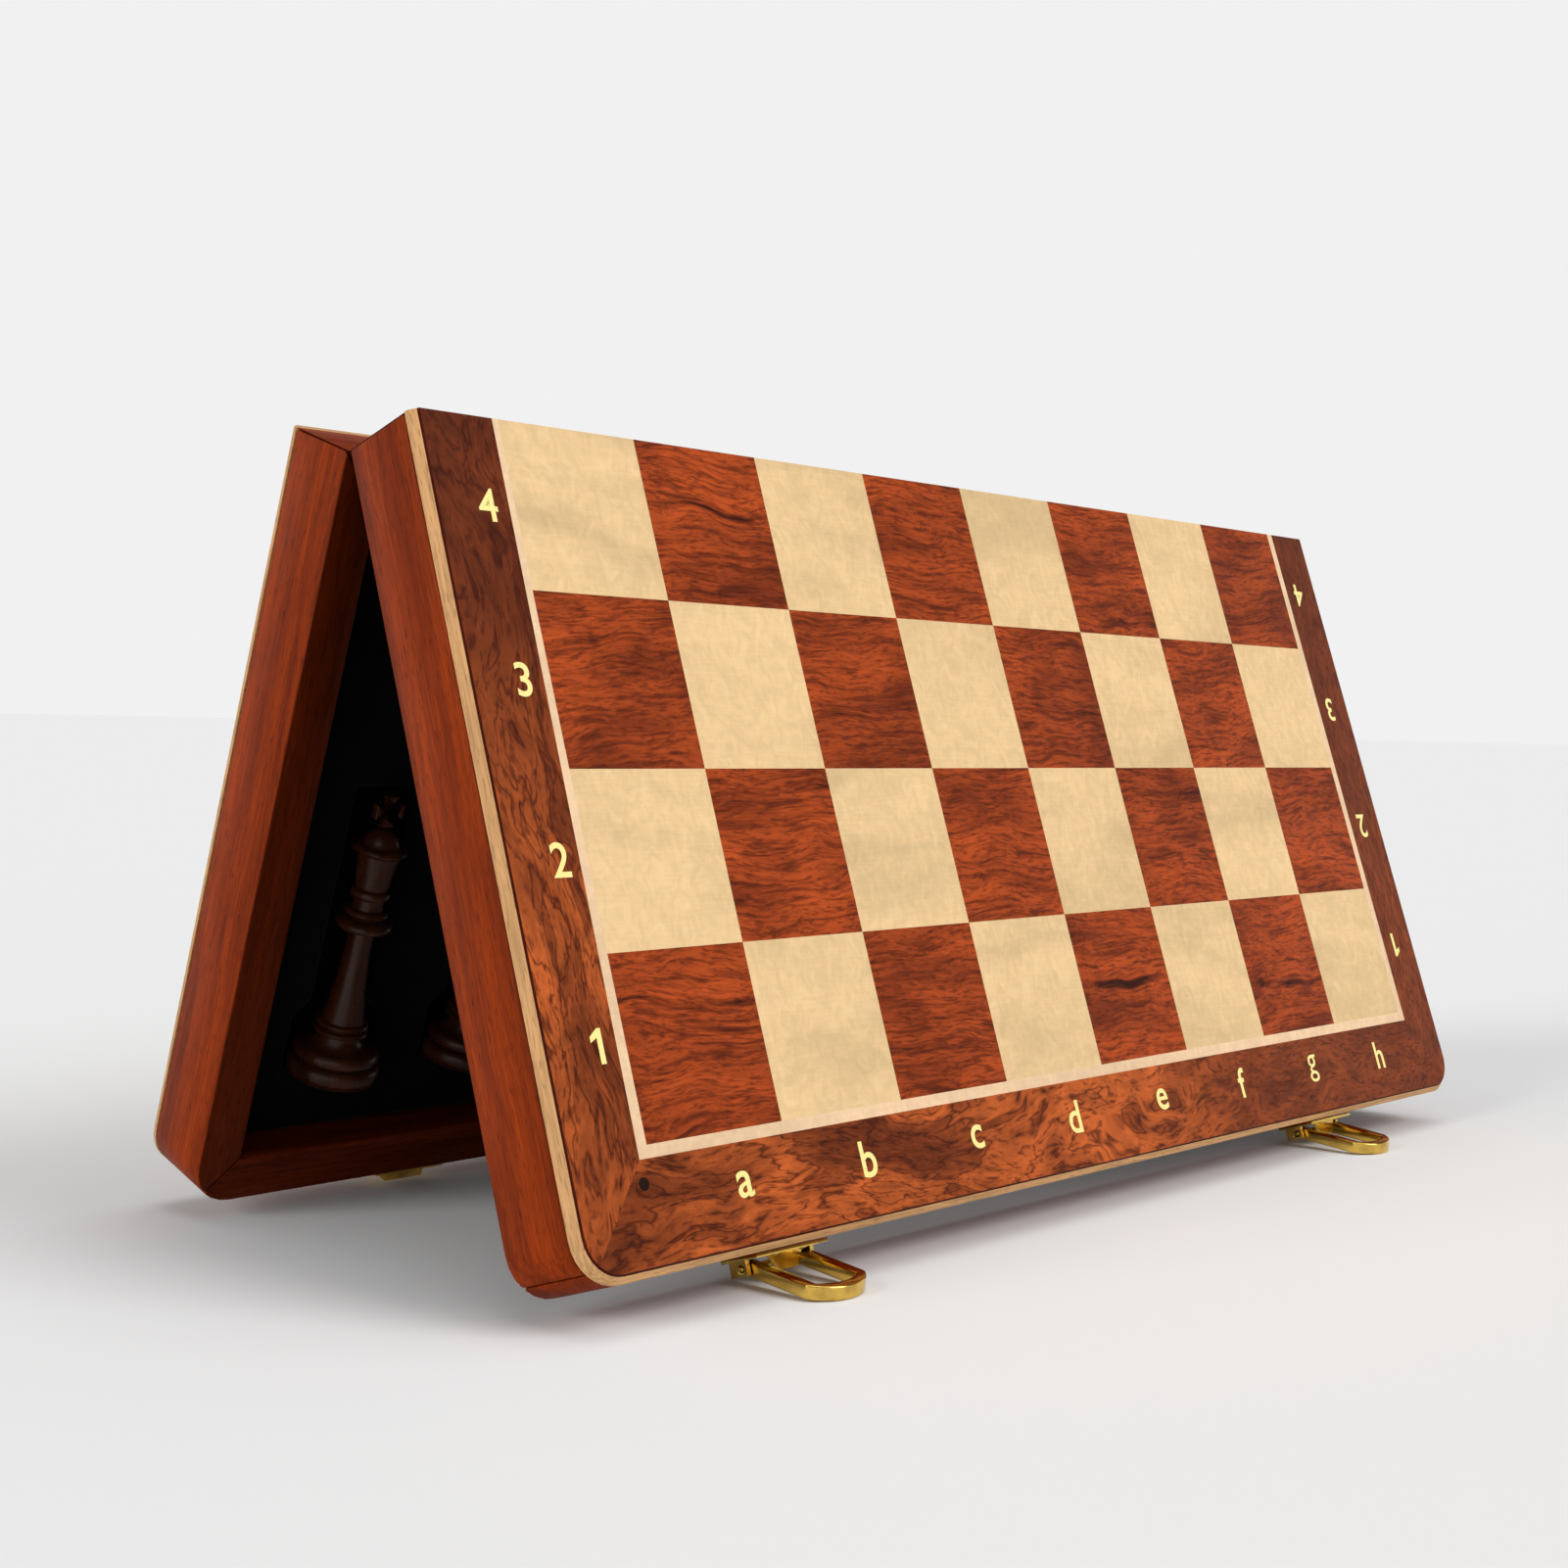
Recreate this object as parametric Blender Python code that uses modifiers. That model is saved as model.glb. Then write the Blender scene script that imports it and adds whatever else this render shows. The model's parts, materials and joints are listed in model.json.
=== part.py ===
"""Folding chess set with board: two shallow wooden trays, hinged together at one rim corner and
standing open like a tent. Each tray has a board half as its outer face and a die-cut insert with
sixteen chessmen inside.

Metres, +Z up. The origin is on the ground, under the middle of the set. +X runs along the hinge, from the
a file to the h file, and the front tray faces -Y.

A tray is modelled lying on its board face: x runs along the hinge, y away from it towards the latch side,
and z out of the tray, with the fold axis at y = 0, z = 0. Tray empties then stand both trays up."""

import math

import bmesh
import bpy
from mathutils import Matrix, Vector

COLLECTION = "chess_set_with_board"

# The trays.
SQUARE = 0.0425  # one square of the board
FILES = 8
RANKS = 4  # on each tray
SIDE_MARGIN = 0.0242  # board margin beside the a and h files
LATCH_MARGIN = 0.0258  # board margin beyond the fourth rank from the hinge
WALL = 0.012  # rail thickness
TRAY_DEPTH = 0.0245  # rim to board face
PANEL = 0.003  # board panel thickness
PANEL_CHAMFER = 0.002  # on the board face's three free edges
CORNER_RADIUS = 0.011  # of the corners at the latch side
OPEN_ANGLE = math.radians(37.4)  # between the trays, as they stand
GLUE_GAP = 0.0003  # between pieces that touch on the real set
RIM_CLEARANCE = 0.0003  # from a rim to the plane through the fold axis
FACE_CLEARANCE = 0.0006  # from a hinge face to the plane through the fold axis

# The two brass hinges, let into the rims.
HINGE_X = 0.112  # of each hinge's middle, from the set's middle
HINGE_LENGTH = 0.032
LEAF_WIDTH = 0.0085  # from the fold axis
LEAF = 0.001  # thickness
BARREL_RADIUS = 0.002
HINGE_PIN_RADIUS = 0.0008
RUNNING_CLEARANCE = 0.0003  # between parts that turn on each other
MIDDLE_KNUCKLE = 0.012  # length of the back leaf's knuckle

# The two brass latches on the front tray, and their catches on the back tray.
LATCH_X = 0.1245  # of each latch's middle, from the set's middle
PLATE_EDGE = 0.0005  # how far a latch plate runs past its ears
PLATE_LOW = 0.0045  # the plate's edge nearest the rim, from the rim
PLATE_HIGH = 0.0165  # its other edge
PLATE = 0.001  # thickness
LATCH_PIN_DROP = 0.0102  # from the rim to the latch pin
LATCH_PIN_HEIGHT = 0.0031  # from the latch face to the latch pin
LATCH_PIN_RADIUS = 0.0007
EAR = 0.0012  # thickness of the plate's two ears
EAR_HEEL = 0.002  # how far an ear runs on past the loop's eye, towards the rim
TONGUE_WIDTH = 0.012
TONGUE_TIP = 0.006
TONGUE_REACH = 0.0052  # from the latch face
LOOP_WIDTH = 0.02  # outside
LOOP_ARM = 0.0186  # from the pin to where the rounded end begins
LOOP_END = 0.0052  # how far the rounded end bows out
LOOP_BAND = 0.0032  # width of the loop's metal, in its plane
LOOP_HEIGHT = 0.0034  # and across it
LOOP_DROOP = math.radians(6)  # the loop hangs this far below level
CATCH_WIDTH = 0.0227
CATCH_LOW = 0.0015
CATCH_HIGH = 0.0145
HOOK_WIDTH = 0.0126
HOOK_LOW = 0.0035
HOOK_HEIGHT = 0.0046
HOOK_CLEARANCE = 0.0003  # from the hook to the closed loop's end

# The inserts and the chessmen that lie in them.
INSERT_BASE = 0.0008  # thickness left under the pockets
INSERT_DEPTH = 0.0107  # base included
INSERT_CLEARANCE = 0.0004  # to the rails
POCKET_CLEARANCE = 0.001  # round each chessman
LYING_CLEARANCE = 0.0003  # under each chessman
LATCH_ROW_PITCH = 0.044  # from one lying chessman to the next
HINGE_ROW_PITCH = 0.040
LATCH_ROW_END = 0.1665  # the latch row's end nearest the latch side, from the hinge face
HINGE_ROW_END = 0.0665  # the pawns' row, likewise
TURNED_STEPS = 12
MM = 0.001
HEIGHTS = {
    "king": 78.5 * MM,
    "queen": 70 * MM,
    "bishop": 59 * MM,
    "knight": 53.5 * MM,
    "rook": 46 * MM,
    "pawn": 39.5 * MM,
}
BASES = {  # diameters
    "king": 24.8 * MM,
    "queen": 24 * MM,
    "bishop": 21.5 * MM,
    "knight": 21.5 * MM,
    "rook": 22.5 * MM,
    "pawn": 20.5 * MM,
}
CROSS = 9.5 * MM  # height of the king's cross
CROSS_SPAN = 8.6 * MM
CROSS_BAR = 2.8 * MM
KNIGHT_HEAD = 10 * MM  # thickness
KNIGHT_SPAN = 18.5 * MM  # from its mane to its muzzle
KNIGHT_NECK = 15.5 * MM  # where its head starts
LATCH_ROW = ("king", "queen", "bishop", "bishop", "knight", "knight", "rook", "rook")
HINGE_ROW = ("pawn",) * 8

# Worked out from these.
LEAN = OPEN_ANGLE / 2
HALF_LENGTH = FILES * SQUARE / 2 + SIDE_MARGIN
TRAY_WIDTH = RANKS * SQUARE + LATCH_MARGIN
HINGE_FACE = FACE_CLEARANCE
LATCH_FACE = HINGE_FACE + TRAY_WIDTH
RIM = -RIM_CLEARANCE
BOARD_FACE = RIM - TRAY_DEPTH
PANEL_INNER = BOARD_FACE + PANEL
INSERT_LOW = PANEL_INNER + GLUE_GAP
POCKET_FLOOR = INSERT_LOW + INSERT_BASE
INSERT_TOP = INSERT_LOW + INSERT_DEPTH
LATCH_PIN_Y = LATCH_FACE + LATCH_PIN_HEIGHT
LATCH_PIN_Z = RIM - LATCH_PIN_DROP
LOOP_REACH = LOOP_ARM + LOOP_END
EAR_INNER = LOOP_WIDTH / 2 + RUNNING_CLEARANCE
PLATE_WIDTH = 2 * (EAR_INNER + EAR + PLATE_EDGE)

# The lowest point of the set is the tip of its hanging loops, and the fold axis is this high above it.
PIN_BELOW_AXIS = LATCH_PIN_Y * math.cos(LEAN) + LATCH_PIN_Z * math.sin(LEAN)
TIP_BELOW_PIN = LOOP_REACH * math.sin(LOOP_DROOP) + LOOP_HEIGHT / 2 * math.cos(LOOP_DROOP)
AXIS_HEIGHT = PIN_BELOW_AXIS + TIP_BELOW_PIN
# The loops reach further forward than the catches reach back, and the origin is in the middle.
FRONT_REACH = (
    LATCH_PIN_Y * math.sin(LEAN) - LATCH_PIN_Z * math.cos(LEAN)
    + LOOP_REACH * math.cos(LOOP_DROOP) + LOOP_HEIGHT / 2 * math.sin(LOOP_DROOP)
)
BACK_REACH = (LATCH_FACE - PANEL_CHAMFER) * math.sin(LEAN) - BOARD_FACE * math.cos(LEAN)
AXIS_Y = (FRONT_REACH - BACK_REACH) / 2

COLOURS = {  # red, green, blue, roughness, metallic
    "mahogany": (0.24, 0.055, 0.018, 0.4, 0.0),
    "board": (0.55, 0.33, 0.16, 0.3, 0.0),
    "flock": (0.012, 0.011, 0.011, 0.95, 0.0),
    "brass": (0.83, 0.62, 0.2, 0.22, 1.0),
    "light_wood": (0.78, 0.56, 0.31, 0.35, 0.0),
    "dark_wood": (0.09, 0.03, 0.014, 0.35, 0.0),
}


def clear_scene():
    for old in list(bpy.data.objects):
        bpy.data.objects.remove(old)


def new_collection(name):
    made = bpy.data.collections.new(name)
    bpy.context.scene.collection.children.link(made)
    return made


def finish_material(name):
    """The Principled material of this finish, made once."""
    if name in bpy.data.materials:
        return bpy.data.materials[name]
    red, green, blue, roughness, metallic = COLOURS[name]
    made = bpy.data.materials.new(name)
    made.use_nodes = True
    shader = made.node_tree.nodes["Principled BSDF"]
    shader.inputs["Base Color"].default_value = (red, green, blue, 1)
    shader.inputs["Roughness"].default_value = roughness
    shader.inputs["Metallic"].default_value = metallic
    return made


def add_object(name, data, home, parent=None):
    made = bpy.data.objects.new(name, data)
    home.objects.link(made)
    made.parent = parent
    return made


def add_empty(name, parent=None, location=(0, 0, 0), rotation=(0, 0, 0)):
    made = add_object(name, None, parts, parent)
    made.location = location
    made.rotation_euler = rotation
    return made


def add_part(name, data, finish, parent=None):
    made = add_object(name, data, parts, parent)
    data.materials.append(finish_material(finish))
    return made


def as_helper(made):
    """Hides an object that only cuts or is joined to another."""
    made.hide_render = True
    made.display_type = "WIRE"
    return made


def add_cutter(name, data, parent=None):
    return as_helper(add_object(name, data, cutters, parent))


def box_mesh(name, low, high):
    """A box between two corners."""
    low, high = Vector(low), Vector(high)
    mesh = bpy.data.meshes.new(name)
    shape = bmesh.new()
    bmesh.ops.create_cube(shape, size=1)
    bmesh.ops.scale(shape, vec=high - low, verts=shape.verts)
    bmesh.ops.translate(shape, vec=(low + high) / 2, verts=shape.verts)
    shape.to_mesh(mesh)
    shape.free()
    return mesh


def rod_mesh(name, radius, start, end, y=0.0, z=0.0, sides=16):
    """A cylinder along x, from start to end."""
    mesh = bpy.data.meshes.new(name)
    shape = bmesh.new()
    bmesh.ops.create_cone(
        shape, cap_ends=True, segments=sides, radius1=radius, radius2=radius, depth=end - start
    )
    bmesh.ops.rotate(shape, matrix=Matrix.Rotation(math.pi / 2, 3, "Y"), verts=shape.verts)
    bmesh.ops.translate(shape, vec=((start + end) / 2, y, z), verts=shape.verts)
    shape.to_mesh(mesh)
    shape.free()
    return mesh


def plate_mesh(name, outline, low, high):
    """A flat outline in x and y, between two heights."""
    curve = bpy.data.curves.new(name, "CURVE")
    curve.dimensions = "2D"
    curve.fill_mode = "BOTH"
    curve.extrude = (high - low) / 2
    line = curve.splines.new("POLY")
    line.points.add(len(outline) - 1)
    for point, (x, y) in zip(line.points, outline):
        point.co = (x, y, 0, 1)
    line.use_cyclic_u = True
    made = add_object(name + "_outline", curve, cutters)
    made.location.z = (low + high) / 2
    return taken_mesh(name, made)


def taken_mesh(name, made):
    """The evaluated mesh of an object, welded and in its parent's space, in place of the object."""
    bpy.context.view_layer.update()
    graph = bpy.context.evaluated_depsgraph_get()
    mesh = bpy.data.meshes.new_from_object(made.evaluated_get(graph))
    mesh.name = name
    mesh.transform(made.matrix_world)
    shape = bmesh.new()
    shape.from_mesh(mesh)
    bmesh.ops.remove_doubles(shape, verts=shape.verts, dist=1e-6)
    bmesh.ops.recalc_face_normals(shape, faces=shape.faces)
    shape.to_mesh(mesh)
    shape.free()
    bpy.data.objects.remove(made)
    return mesh


def change(made, operation, other):
    """A Boolean of one object with another."""
    modifier = made.modifiers.new(operation.title() + "_" + other.name, "BOOLEAN")
    modifier.operation = operation
    modifier.object = other
    modifier.solver = "EXACT"


def merged_mesh(name, base, joined=(), cut=()):
    """One mesh of a base mesh with other meshes joined to it and cut from it."""
    made = add_object(name + "_base", base, cutters)
    helpers = [add_cutter(f"{name}_join_{n}", mesh) for n, mesh in enumerate(joined)]
    for helper in helpers:
        change(made, "UNION", helper)
    knives = [add_cutter(f"{name}_cut_{n}", mesh) for n, mesh in enumerate(cut)]
    for knife in knives:
        change(made, "DIFFERENCE", knife)
    mesh = taken_mesh(name, made)
    for helper in helpers + knives:
        bpy.data.objects.remove(helper)
    return mesh


def arc(centre, radius, start, end, steps):
    """Points of an arc, angles in degrees."""
    angles = [math.radians(start + (end - start) * n / steps) for n in range(steps + 1)]
    return [(centre[0] + radius * math.cos(a), centre[1] + radius * math.sin(a)) for a in angles]


def mirrored(points):
    return [(-x, y) for x, y in points]


# Trays


def tray_outline():
    """Square corners at the hinge side, round ones at the latch side."""
    inner = HALF_LENGTH - CORNER_RADIUS
    corner = arc((inner, LATCH_FACE - CORNER_RADIUS), CORNER_RADIUS, 0, 90, 6)
    right = [(HALF_LENGTH, HINGE_FACE)] + corner
    return right + mirrored(reversed(right))


def side_rail_outline():
    """The rail at +x, mitred at both ends."""
    seam = GLUE_GAP / math.sqrt(2)
    inner = HALF_LENGTH - WALL
    centre = (HALF_LENGTH - CORNER_RADIUS, LATCH_FACE - CORNER_RADIUS)
    corner = arc(centre, CORNER_RADIUS, 0, 45 - math.degrees(seam / CORNER_RADIUS), 3)
    return [
        (inner, HINGE_FACE + WALL + seam),
        (HALF_LENGTH, HINGE_FACE + seam),
        *corner,
        (inner, LATCH_FACE - WALL - seam),
    ]


def latch_rail_outline():
    seam = GLUE_GAP / math.sqrt(2)
    inner = HALF_LENGTH - WALL
    centre = (HALF_LENGTH - CORNER_RADIUS, LATCH_FACE - CORNER_RADIUS)
    corner = arc(centre, CORNER_RADIUS, 45 + math.degrees(seam / CORNER_RADIUS), 90, 3)
    half = [(inner - seam, LATCH_FACE - WALL)] + corner
    return half + mirrored(reversed(half))


def hinge_rail_outline():
    seam = GLUE_GAP / math.sqrt(2)
    half = [
        (HALF_LENGTH - WALL - seam, HINGE_FACE + WALL),
        (HALF_LENGTH - seam, HINGE_FACE),
    ]
    return list(reversed(half)) + mirrored(half)


def add_hinge_relief(rail, tray):
    """Clears the hinge leaves and barrels out of a hinge rail."""
    room = RUNNING_CLEARANCE
    reach = HINGE_LENGTH / 2 + room
    for side in (-1, 1):
        middle = side * HINGE_X
        low = (middle - reach, HINGE_FACE - WALL / 2, RIM - LEAF - room)
        high = (middle + reach, LEAF_WIDTH + room, RIM + WALL / 2)
        recess = box_mesh("leaf_recess", low, high)
        groove = rod_mesh("barrel_groove", BARREL_RADIUS + room, middle - reach, middle + reach)
        for mesh in (recess, groove):
            change(rail, "DIFFERENCE", add_cutter(f"{rail.name}_{mesh.name}_{side}", mesh, tray))


def add_rails(side, tray, left, right):
    low, high = PANEL_INNER + GLUE_GAP, RIM
    hinge = plate_mesh("hinge_rail", hinge_rail_outline(), low, high)
    rail = add_part(f"{side}_hinge_rail", hinge, "mahogany", tray)
    add_hinge_relief(rail, tray)
    latch = plate_mesh("latch_rail", latch_rail_outline(), low, high)
    add_part(f"{side}_latch_rail", latch, "mahogany", tray)
    end = plate_mesh("side_rail", side_rail_outline(), low, high)
    add_part(f"{side}_{right}_rail", end, "mahogany", tray)
    other = plate_mesh("side_rail", mirrored(reversed(side_rail_outline())), low, high)
    add_part(f"{side}_{left}_rail", other, "mahogany", tray)


def add_board_panel(side, tray):
    mesh = plate_mesh("board_panel", tray_outline(), BOARD_FACE, PANEL_INNER)
    shape = bmesh.new()
    shape.from_mesh(mesh)
    free = [
        edge
        for edge in shape.edges
        if all(abs(v.co.z - BOARD_FACE) < 1e-6 for v in edge.verts)
        and edge.is_manifold
        and any(abs(face.normal.z) < 0.5 for face in edge.link_faces)
        and max(v.co.y for v in edge.verts) > HINGE_FACE + 1e-6
    ]
    bmesh.ops.bevel(shape, geom=free, offset=PANEL_CHAMFER, segments=1, affect="EDGES")
    shape.to_mesh(mesh)
    shape.free()
    add_part(f"{side}_board_panel", mesh, "board", tray)


# Hinges and latches


def knuckle(start, end):
    return rod_mesh("knuckle", BARREL_RADIUS, start, end)


def leaf_mesh(name, spans, plate_start):
    """A leaf in its rim with a knuckle over each span of x, bored for the pin."""
    half = HINGE_LENGTH / 2
    plate = box_mesh(name, (-half, plate_start, RIM - LEAF), (half, LEAF_WIDTH, RIM))
    arms = [
        box_mesh("arm", (start, 0, RIM - LEAF), (end, plate_start + LEAF / 2, RIM)) for start, end in spans
    ]
    bore = rod_mesh("bore", HINGE_PIN_RADIUS + RUNNING_CLEARANCE, -half - LEAF, half + LEAF)
    return merged_mesh(name, plate, arms + [knuckle(*span) for span in spans], [bore])


def add_hinges(front, back):
    half = HINGE_LENGTH / 2
    middle = MIDDLE_KNUCKLE / 2
    gap = RUNNING_CLEARANCE
    plate_start = BARREL_RADIUS + gap
    outer_spans = [(-half, -middle - gap), (middle + gap, half)]
    for place, x in (("left", -HINGE_X), ("right", HINGE_X)):
        mesh = leaf_mesh("front_leaf", outer_spans, plate_start)
        leaf = add_part(f"hinge_{place}_front_leaf", mesh, "brass", front)
        leaf.location.x = x
        mesh = leaf_mesh("back_leaf", [(-middle, middle)], plate_start)
        leaf = add_part(f"hinge_{place}_back_leaf", mesh, "brass", back)
        leaf.location.x = -x
        mesh = rod_mesh("hinge_pin", HINGE_PIN_RADIUS, -half, half)
        pin = add_part(f"hinge_{place}_pin", mesh, "brass", front)
        pin.location.x = x


def latch_plate_mesh():
    """The plate on the latch face, with two bored ears and a bent-out tongue."""
    low = LATCH_FACE + GLUE_GAP
    top = low + PLATE
    half = PLATE_WIDTH / 2
    eye = LOOP_HEIGHT / 2
    plate = box_mesh("plate", (-half, low, RIM - PLATE_HIGH), (half, top, RIM - PLATE_LOW))
    ears = []
    for start in (-EAR_INNER - EAR, EAR_INNER):
        y, z = LATCH_PIN_Y, LATCH_PIN_Z
        corner = (start, low + PLATE / 2, z - eye)
        ears.append(box_mesh("ear", corner, (start + EAR, y + eye, z + eye + EAR_HEEL)))
    tongue_z = LATCH_PIN_Z - LOOP_HEIGHT / 2 - PLATE
    outline = [
        (-TONGUE_WIDTH / 2, low + PLATE / 2),
        (TONGUE_WIDTH / 2, low + PLATE / 2),
        (TONGUE_TIP / 2, LATCH_FACE + TONGUE_REACH),
        (-TONGUE_TIP / 2, LATCH_FACE + TONGUE_REACH),
    ]
    tongue = plate_mesh("tongue", outline, tongue_z - PLATE, tongue_z)
    reach = EAR_INNER + EAR * 2
    bore = rod_mesh(
        "bore", LATCH_PIN_RADIUS + RUNNING_CLEARANCE, -reach, reach, LATCH_PIN_Y, LATCH_PIN_Z
    )
    return merged_mesh("latch_plate", plate, ears + [tongue], [bore])


def loop_mesh():
    """A loop in x and y with its pin's axis at y = 0: two arms and a bowed end, open between them."""
    outer = LOOP_WIDTH / 2
    inner = outer - LOOP_BAND
    eye = LOOP_HEIGHT / 2
    tall = LOOP_HEIGHT / 2

    def outline(half, start, bow):
        radius = (half * half + bow * bow) / (2 * bow)
        below = radius - bow
        first = math.degrees(math.atan2(below, half))
        end = arc((0, LOOP_ARM - below), radius, first, 180 - first, 8)
        return [(half, start)] + end + [(-half, start)]

    body = plate_mesh("loop", outline(outer, 0, LOOP_END), -tall, tall)
    room = plate_mesh("loop_room", outline(inner, -eye * 2, LOOP_END - LOOP_BAND), -tall * 2, tall * 2)
    eyes = [rod_mesh("eye", eye, start, start + LOOP_BAND) for start in (-outer, inner)]
    bore = rod_mesh("bore", LATCH_PIN_RADIUS + RUNNING_CLEARANCE, -outer * 2, outer * 2)
    cut = merged_mesh("loop_open", body, [], [room])
    return merged_mesh("latch_loop", cut, eyes, [bore])


def add_latches(front, back):
    hook_high = LOOP_REACH - LOOP_BAND - LATCH_PIN_DROP - 2 * RIM_CLEARANCE - HOOK_CLEARANCE
    pin_reach = EAR_INNER + EAR + GLUE_GAP
    for place, x in (("left", -LATCH_X), ("right", LATCH_X)):
        plate = add_part(f"latch_{place}_plate", latch_plate_mesh(), "brass", front)
        plate.location.x = x
        mesh = rod_mesh("latch_pin", LATCH_PIN_RADIUS, -pin_reach, pin_reach)
        pin = add_part(f"latch_{place}_pin", mesh, "brass", front)
        pin.location = (x, LATCH_PIN_Y, LATCH_PIN_Z)
        axis = add_empty(f"latch_{place}_axis", front, (x, LATCH_PIN_Y, LATCH_PIN_Z))
        axis.rotation_euler.x = LEAN + LOOP_DROOP - math.pi / 2
        add_part(f"latch_{place}_loop", loop_mesh(), "brass", axis)

        low = LATCH_FACE + GLUE_GAP
        half = CATCH_WIDTH / 2
        base = box_mesh("catch", (-half, low, RIM - CATCH_HIGH), (half, low + PLATE, RIM - CATCH_LOW))
        half = HOOK_WIDTH / 2
        top = LATCH_FACE + HOOK_HEIGHT
        hook = box_mesh("hook", (-half, low + PLATE / 2, RIM - hook_high), (half, top, RIM - HOOK_LOW))
        catch = add_part(f"latch_{place}_catch", merged_mesh("catch", base, [hook]), "brass", back)
        catch.location.x = -x


# Chessmen


def turned_mesh(name, profile):
    """A turned shape from its outer side, as (radius, height) from top to bottom."""
    mesh = bpy.data.meshes.new(name)
    shape = bmesh.new()
    corners = [shape.verts.new((radius, 0, height)) for radius, height in profile]
    for pair in zip(corners, corners[1:]):
        shape.edges.new(pair)
    shape.to_mesh(mesh)
    shape.free()
    made = add_object(name + "_profile", mesh, cutters)
    screw = made.modifiers.new("Turn", "SCREW")
    screw.steps = screw.render_steps = TURNED_STEPS
    screw.use_merge_vertices = True
    screw.merge_threshold = 0.05 * MM
    screw.use_smooth_shade = False
    return taken_mesh(name, made)


def foot(base, stem, top):
    """The plinth, ring, small collar and tapering stem of a turned man, the stem ending at this height."""
    plinth = base / 2
    ring = plinth * 0.95
    ring_top = base * 0.5
    rise = top - ring_top
    return [
        (stem * 0.6, top),
        (stem, ring_top + rise * 0.3),
        (stem + 1.4 * MM, ring_top + rise * 0.26),
        (stem + 1.4 * MM, ring_top + rise * 0.09),
        (ring, ring_top),
        (ring, base * 0.3),
        (plinth, base * 0.24),
        (plinth, 0),
        (0, 0),
    ]


def collar(radius, height):
    """A collar round the neck, with its lower edge at this height."""
    return [(radius * 0.6, height + 4.6 * MM), (radius, height + 2.8 * MM), (radius, height)]


def king_head(top):
    crown = top - CROSS
    cup = [(0, crown), (4 * MM, crown - 1 * MM), (7.2 * MM, crown - 4.4 * MM), (4.4 * MM, crown - 15.5 * MM)]
    return cup + collar(7.6 * MM, crown - 28 * MM)


def queen_head(top):
    ball = [(0, top), (2.1 * MM, top - 1.1 * MM), (2.1 * MM, top - 3.1 * MM), (1.5 * MM, top - 4 * MM)]
    cup = [(4.1 * MM, top - 5 * MM), (7 * MM, top - 8.2 * MM), (4.3 * MM, top - 18.4 * MM)]
    return ball + cup + collar(7.4 * MM, top - 28.4 * MM)


def bishop_head(top):
    ball = [(0, top), (1.6 * MM, top - 0.9 * MM), (1.5 * MM, top - 2.9 * MM)]
    mitre = [(3.3 * MM, top - 5.5 * MM), (5.3 * MM, top - 11 * MM), (3.6 * MM, top - 18 * MM)]
    return ball + mitre + collar(6.5 * MM, top - 24 * MM)


def rook_head(top):
    tower = [(0, top - 2.3 * MM), (5 * MM, top - 2.3 * MM), (5 * MM, top), (7.6 * MM, top)]
    under = [(7.6 * MM, top - 7.4 * MM), (5.4 * MM, top - 10 * MM)]
    return tower + under + collar(7.3 * MM, top - 17.5 * MM)


def pawn_head(top):
    radius = 6 * MM
    angles = [math.radians(90 - 35 * n) for n in range(5)]
    ball = [(radius * math.cos(a), top - radius + radius * math.sin(a)) for a in angles]
    ball[0] = (0, top)
    return ball + collar(6.3 * MM, top - 16.5 * MM)


HEADS = {
    "king": (king_head, 29.5 * MM + CROSS, 5.8 * MM),  # profile, stem's top from the man's top, stem radius
    "queen": (queen_head, 30 * MM, 5.6 * MM),
    "bishop": (bishop_head, 25.5 * MM, 4.9 * MM),
    "rook": (rook_head, 19 * MM, 5.8 * MM),
    "pawn": (pawn_head, 18 * MM, 4.6 * MM),
}


def man_profile(kind):
    head, below, stem = HEADS[kind]
    return head(HEIGHTS[kind]) + foot(BASES[kind], stem, HEIGHTS[kind] - below)


def widest_above_foot(kind):
    """Radius of the widest part of a man's head, collar or stem."""
    if kind == "knight":
        return KNIGHT_SPAN / 2
    head, _, stem = HEADS[kind]
    return max([stem + 1.4 * MM, CROSS_SPAN / 2] + [radius for radius, _ in head(HEIGHTS[kind])])


def cross_meshes(top):
    half, bar = CROSS_SPAN / 2, CROSS_BAR / 2
    upright = box_mesh("upright", (-bar, -bar, top - CROSS - CROSS_BAR), (bar, bar, top))
    middle = top - CROSS * 0.45
    across = box_mesh("across", (-half, -bar * 0.9, middle - bar), (half, bar * 0.9, middle + bar))
    return [upright, across]


def knight_mesh():
    """A turned foot with a flat carved horse's head, facing +x."""
    base = BASES["knight"]
    top = KNIGHT_NECK
    neck = KNIGHT_SPAN * 0.45
    profile = [(0, top), (neck * 0.9, top)] + foot(base, neck, top)[5:]
    reach = KNIGHT_SPAN / 2
    rise = HEIGHTS["knight"] - KNIGHT_NECK
    # forwards as a share of the reach, and up as a share of the rise
    shape = [
        (-0.75, -0.08), (0.72, -0.08), (0.66, 0.14), (0.28, 0.34), (0.3, 0.42), (0.95, 0.42),
        (1, 0.56), (0.55, 0.72), (0.3, 0.86), (0.16, 1), (-0.2, 0.93), (-0.75, 0.74), (-1, 0.48), (-0.9, 0.2),
    ]
    outline = [(reach * x, KNIGHT_NECK + rise * z) for x, z in shape]
    head = plate_mesh("horse", outline, -KNIGHT_HEAD / 2, KNIGHT_HEAD / 2)
    head.transform(Matrix.Rotation(math.pi / 2, 4, "X"))
    return merged_mesh("knight", turned_mesh("knight_foot", profile), [head])


def man_mesh(kind):
    if kind == "knight":
        return knight_mesh()
    mesh = turned_mesh(kind, man_profile(kind))
    if kind == "king":
        return merged_mesh(kind, mesh, cross_meshes(HEIGHTS[kind]))
    return mesh


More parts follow.
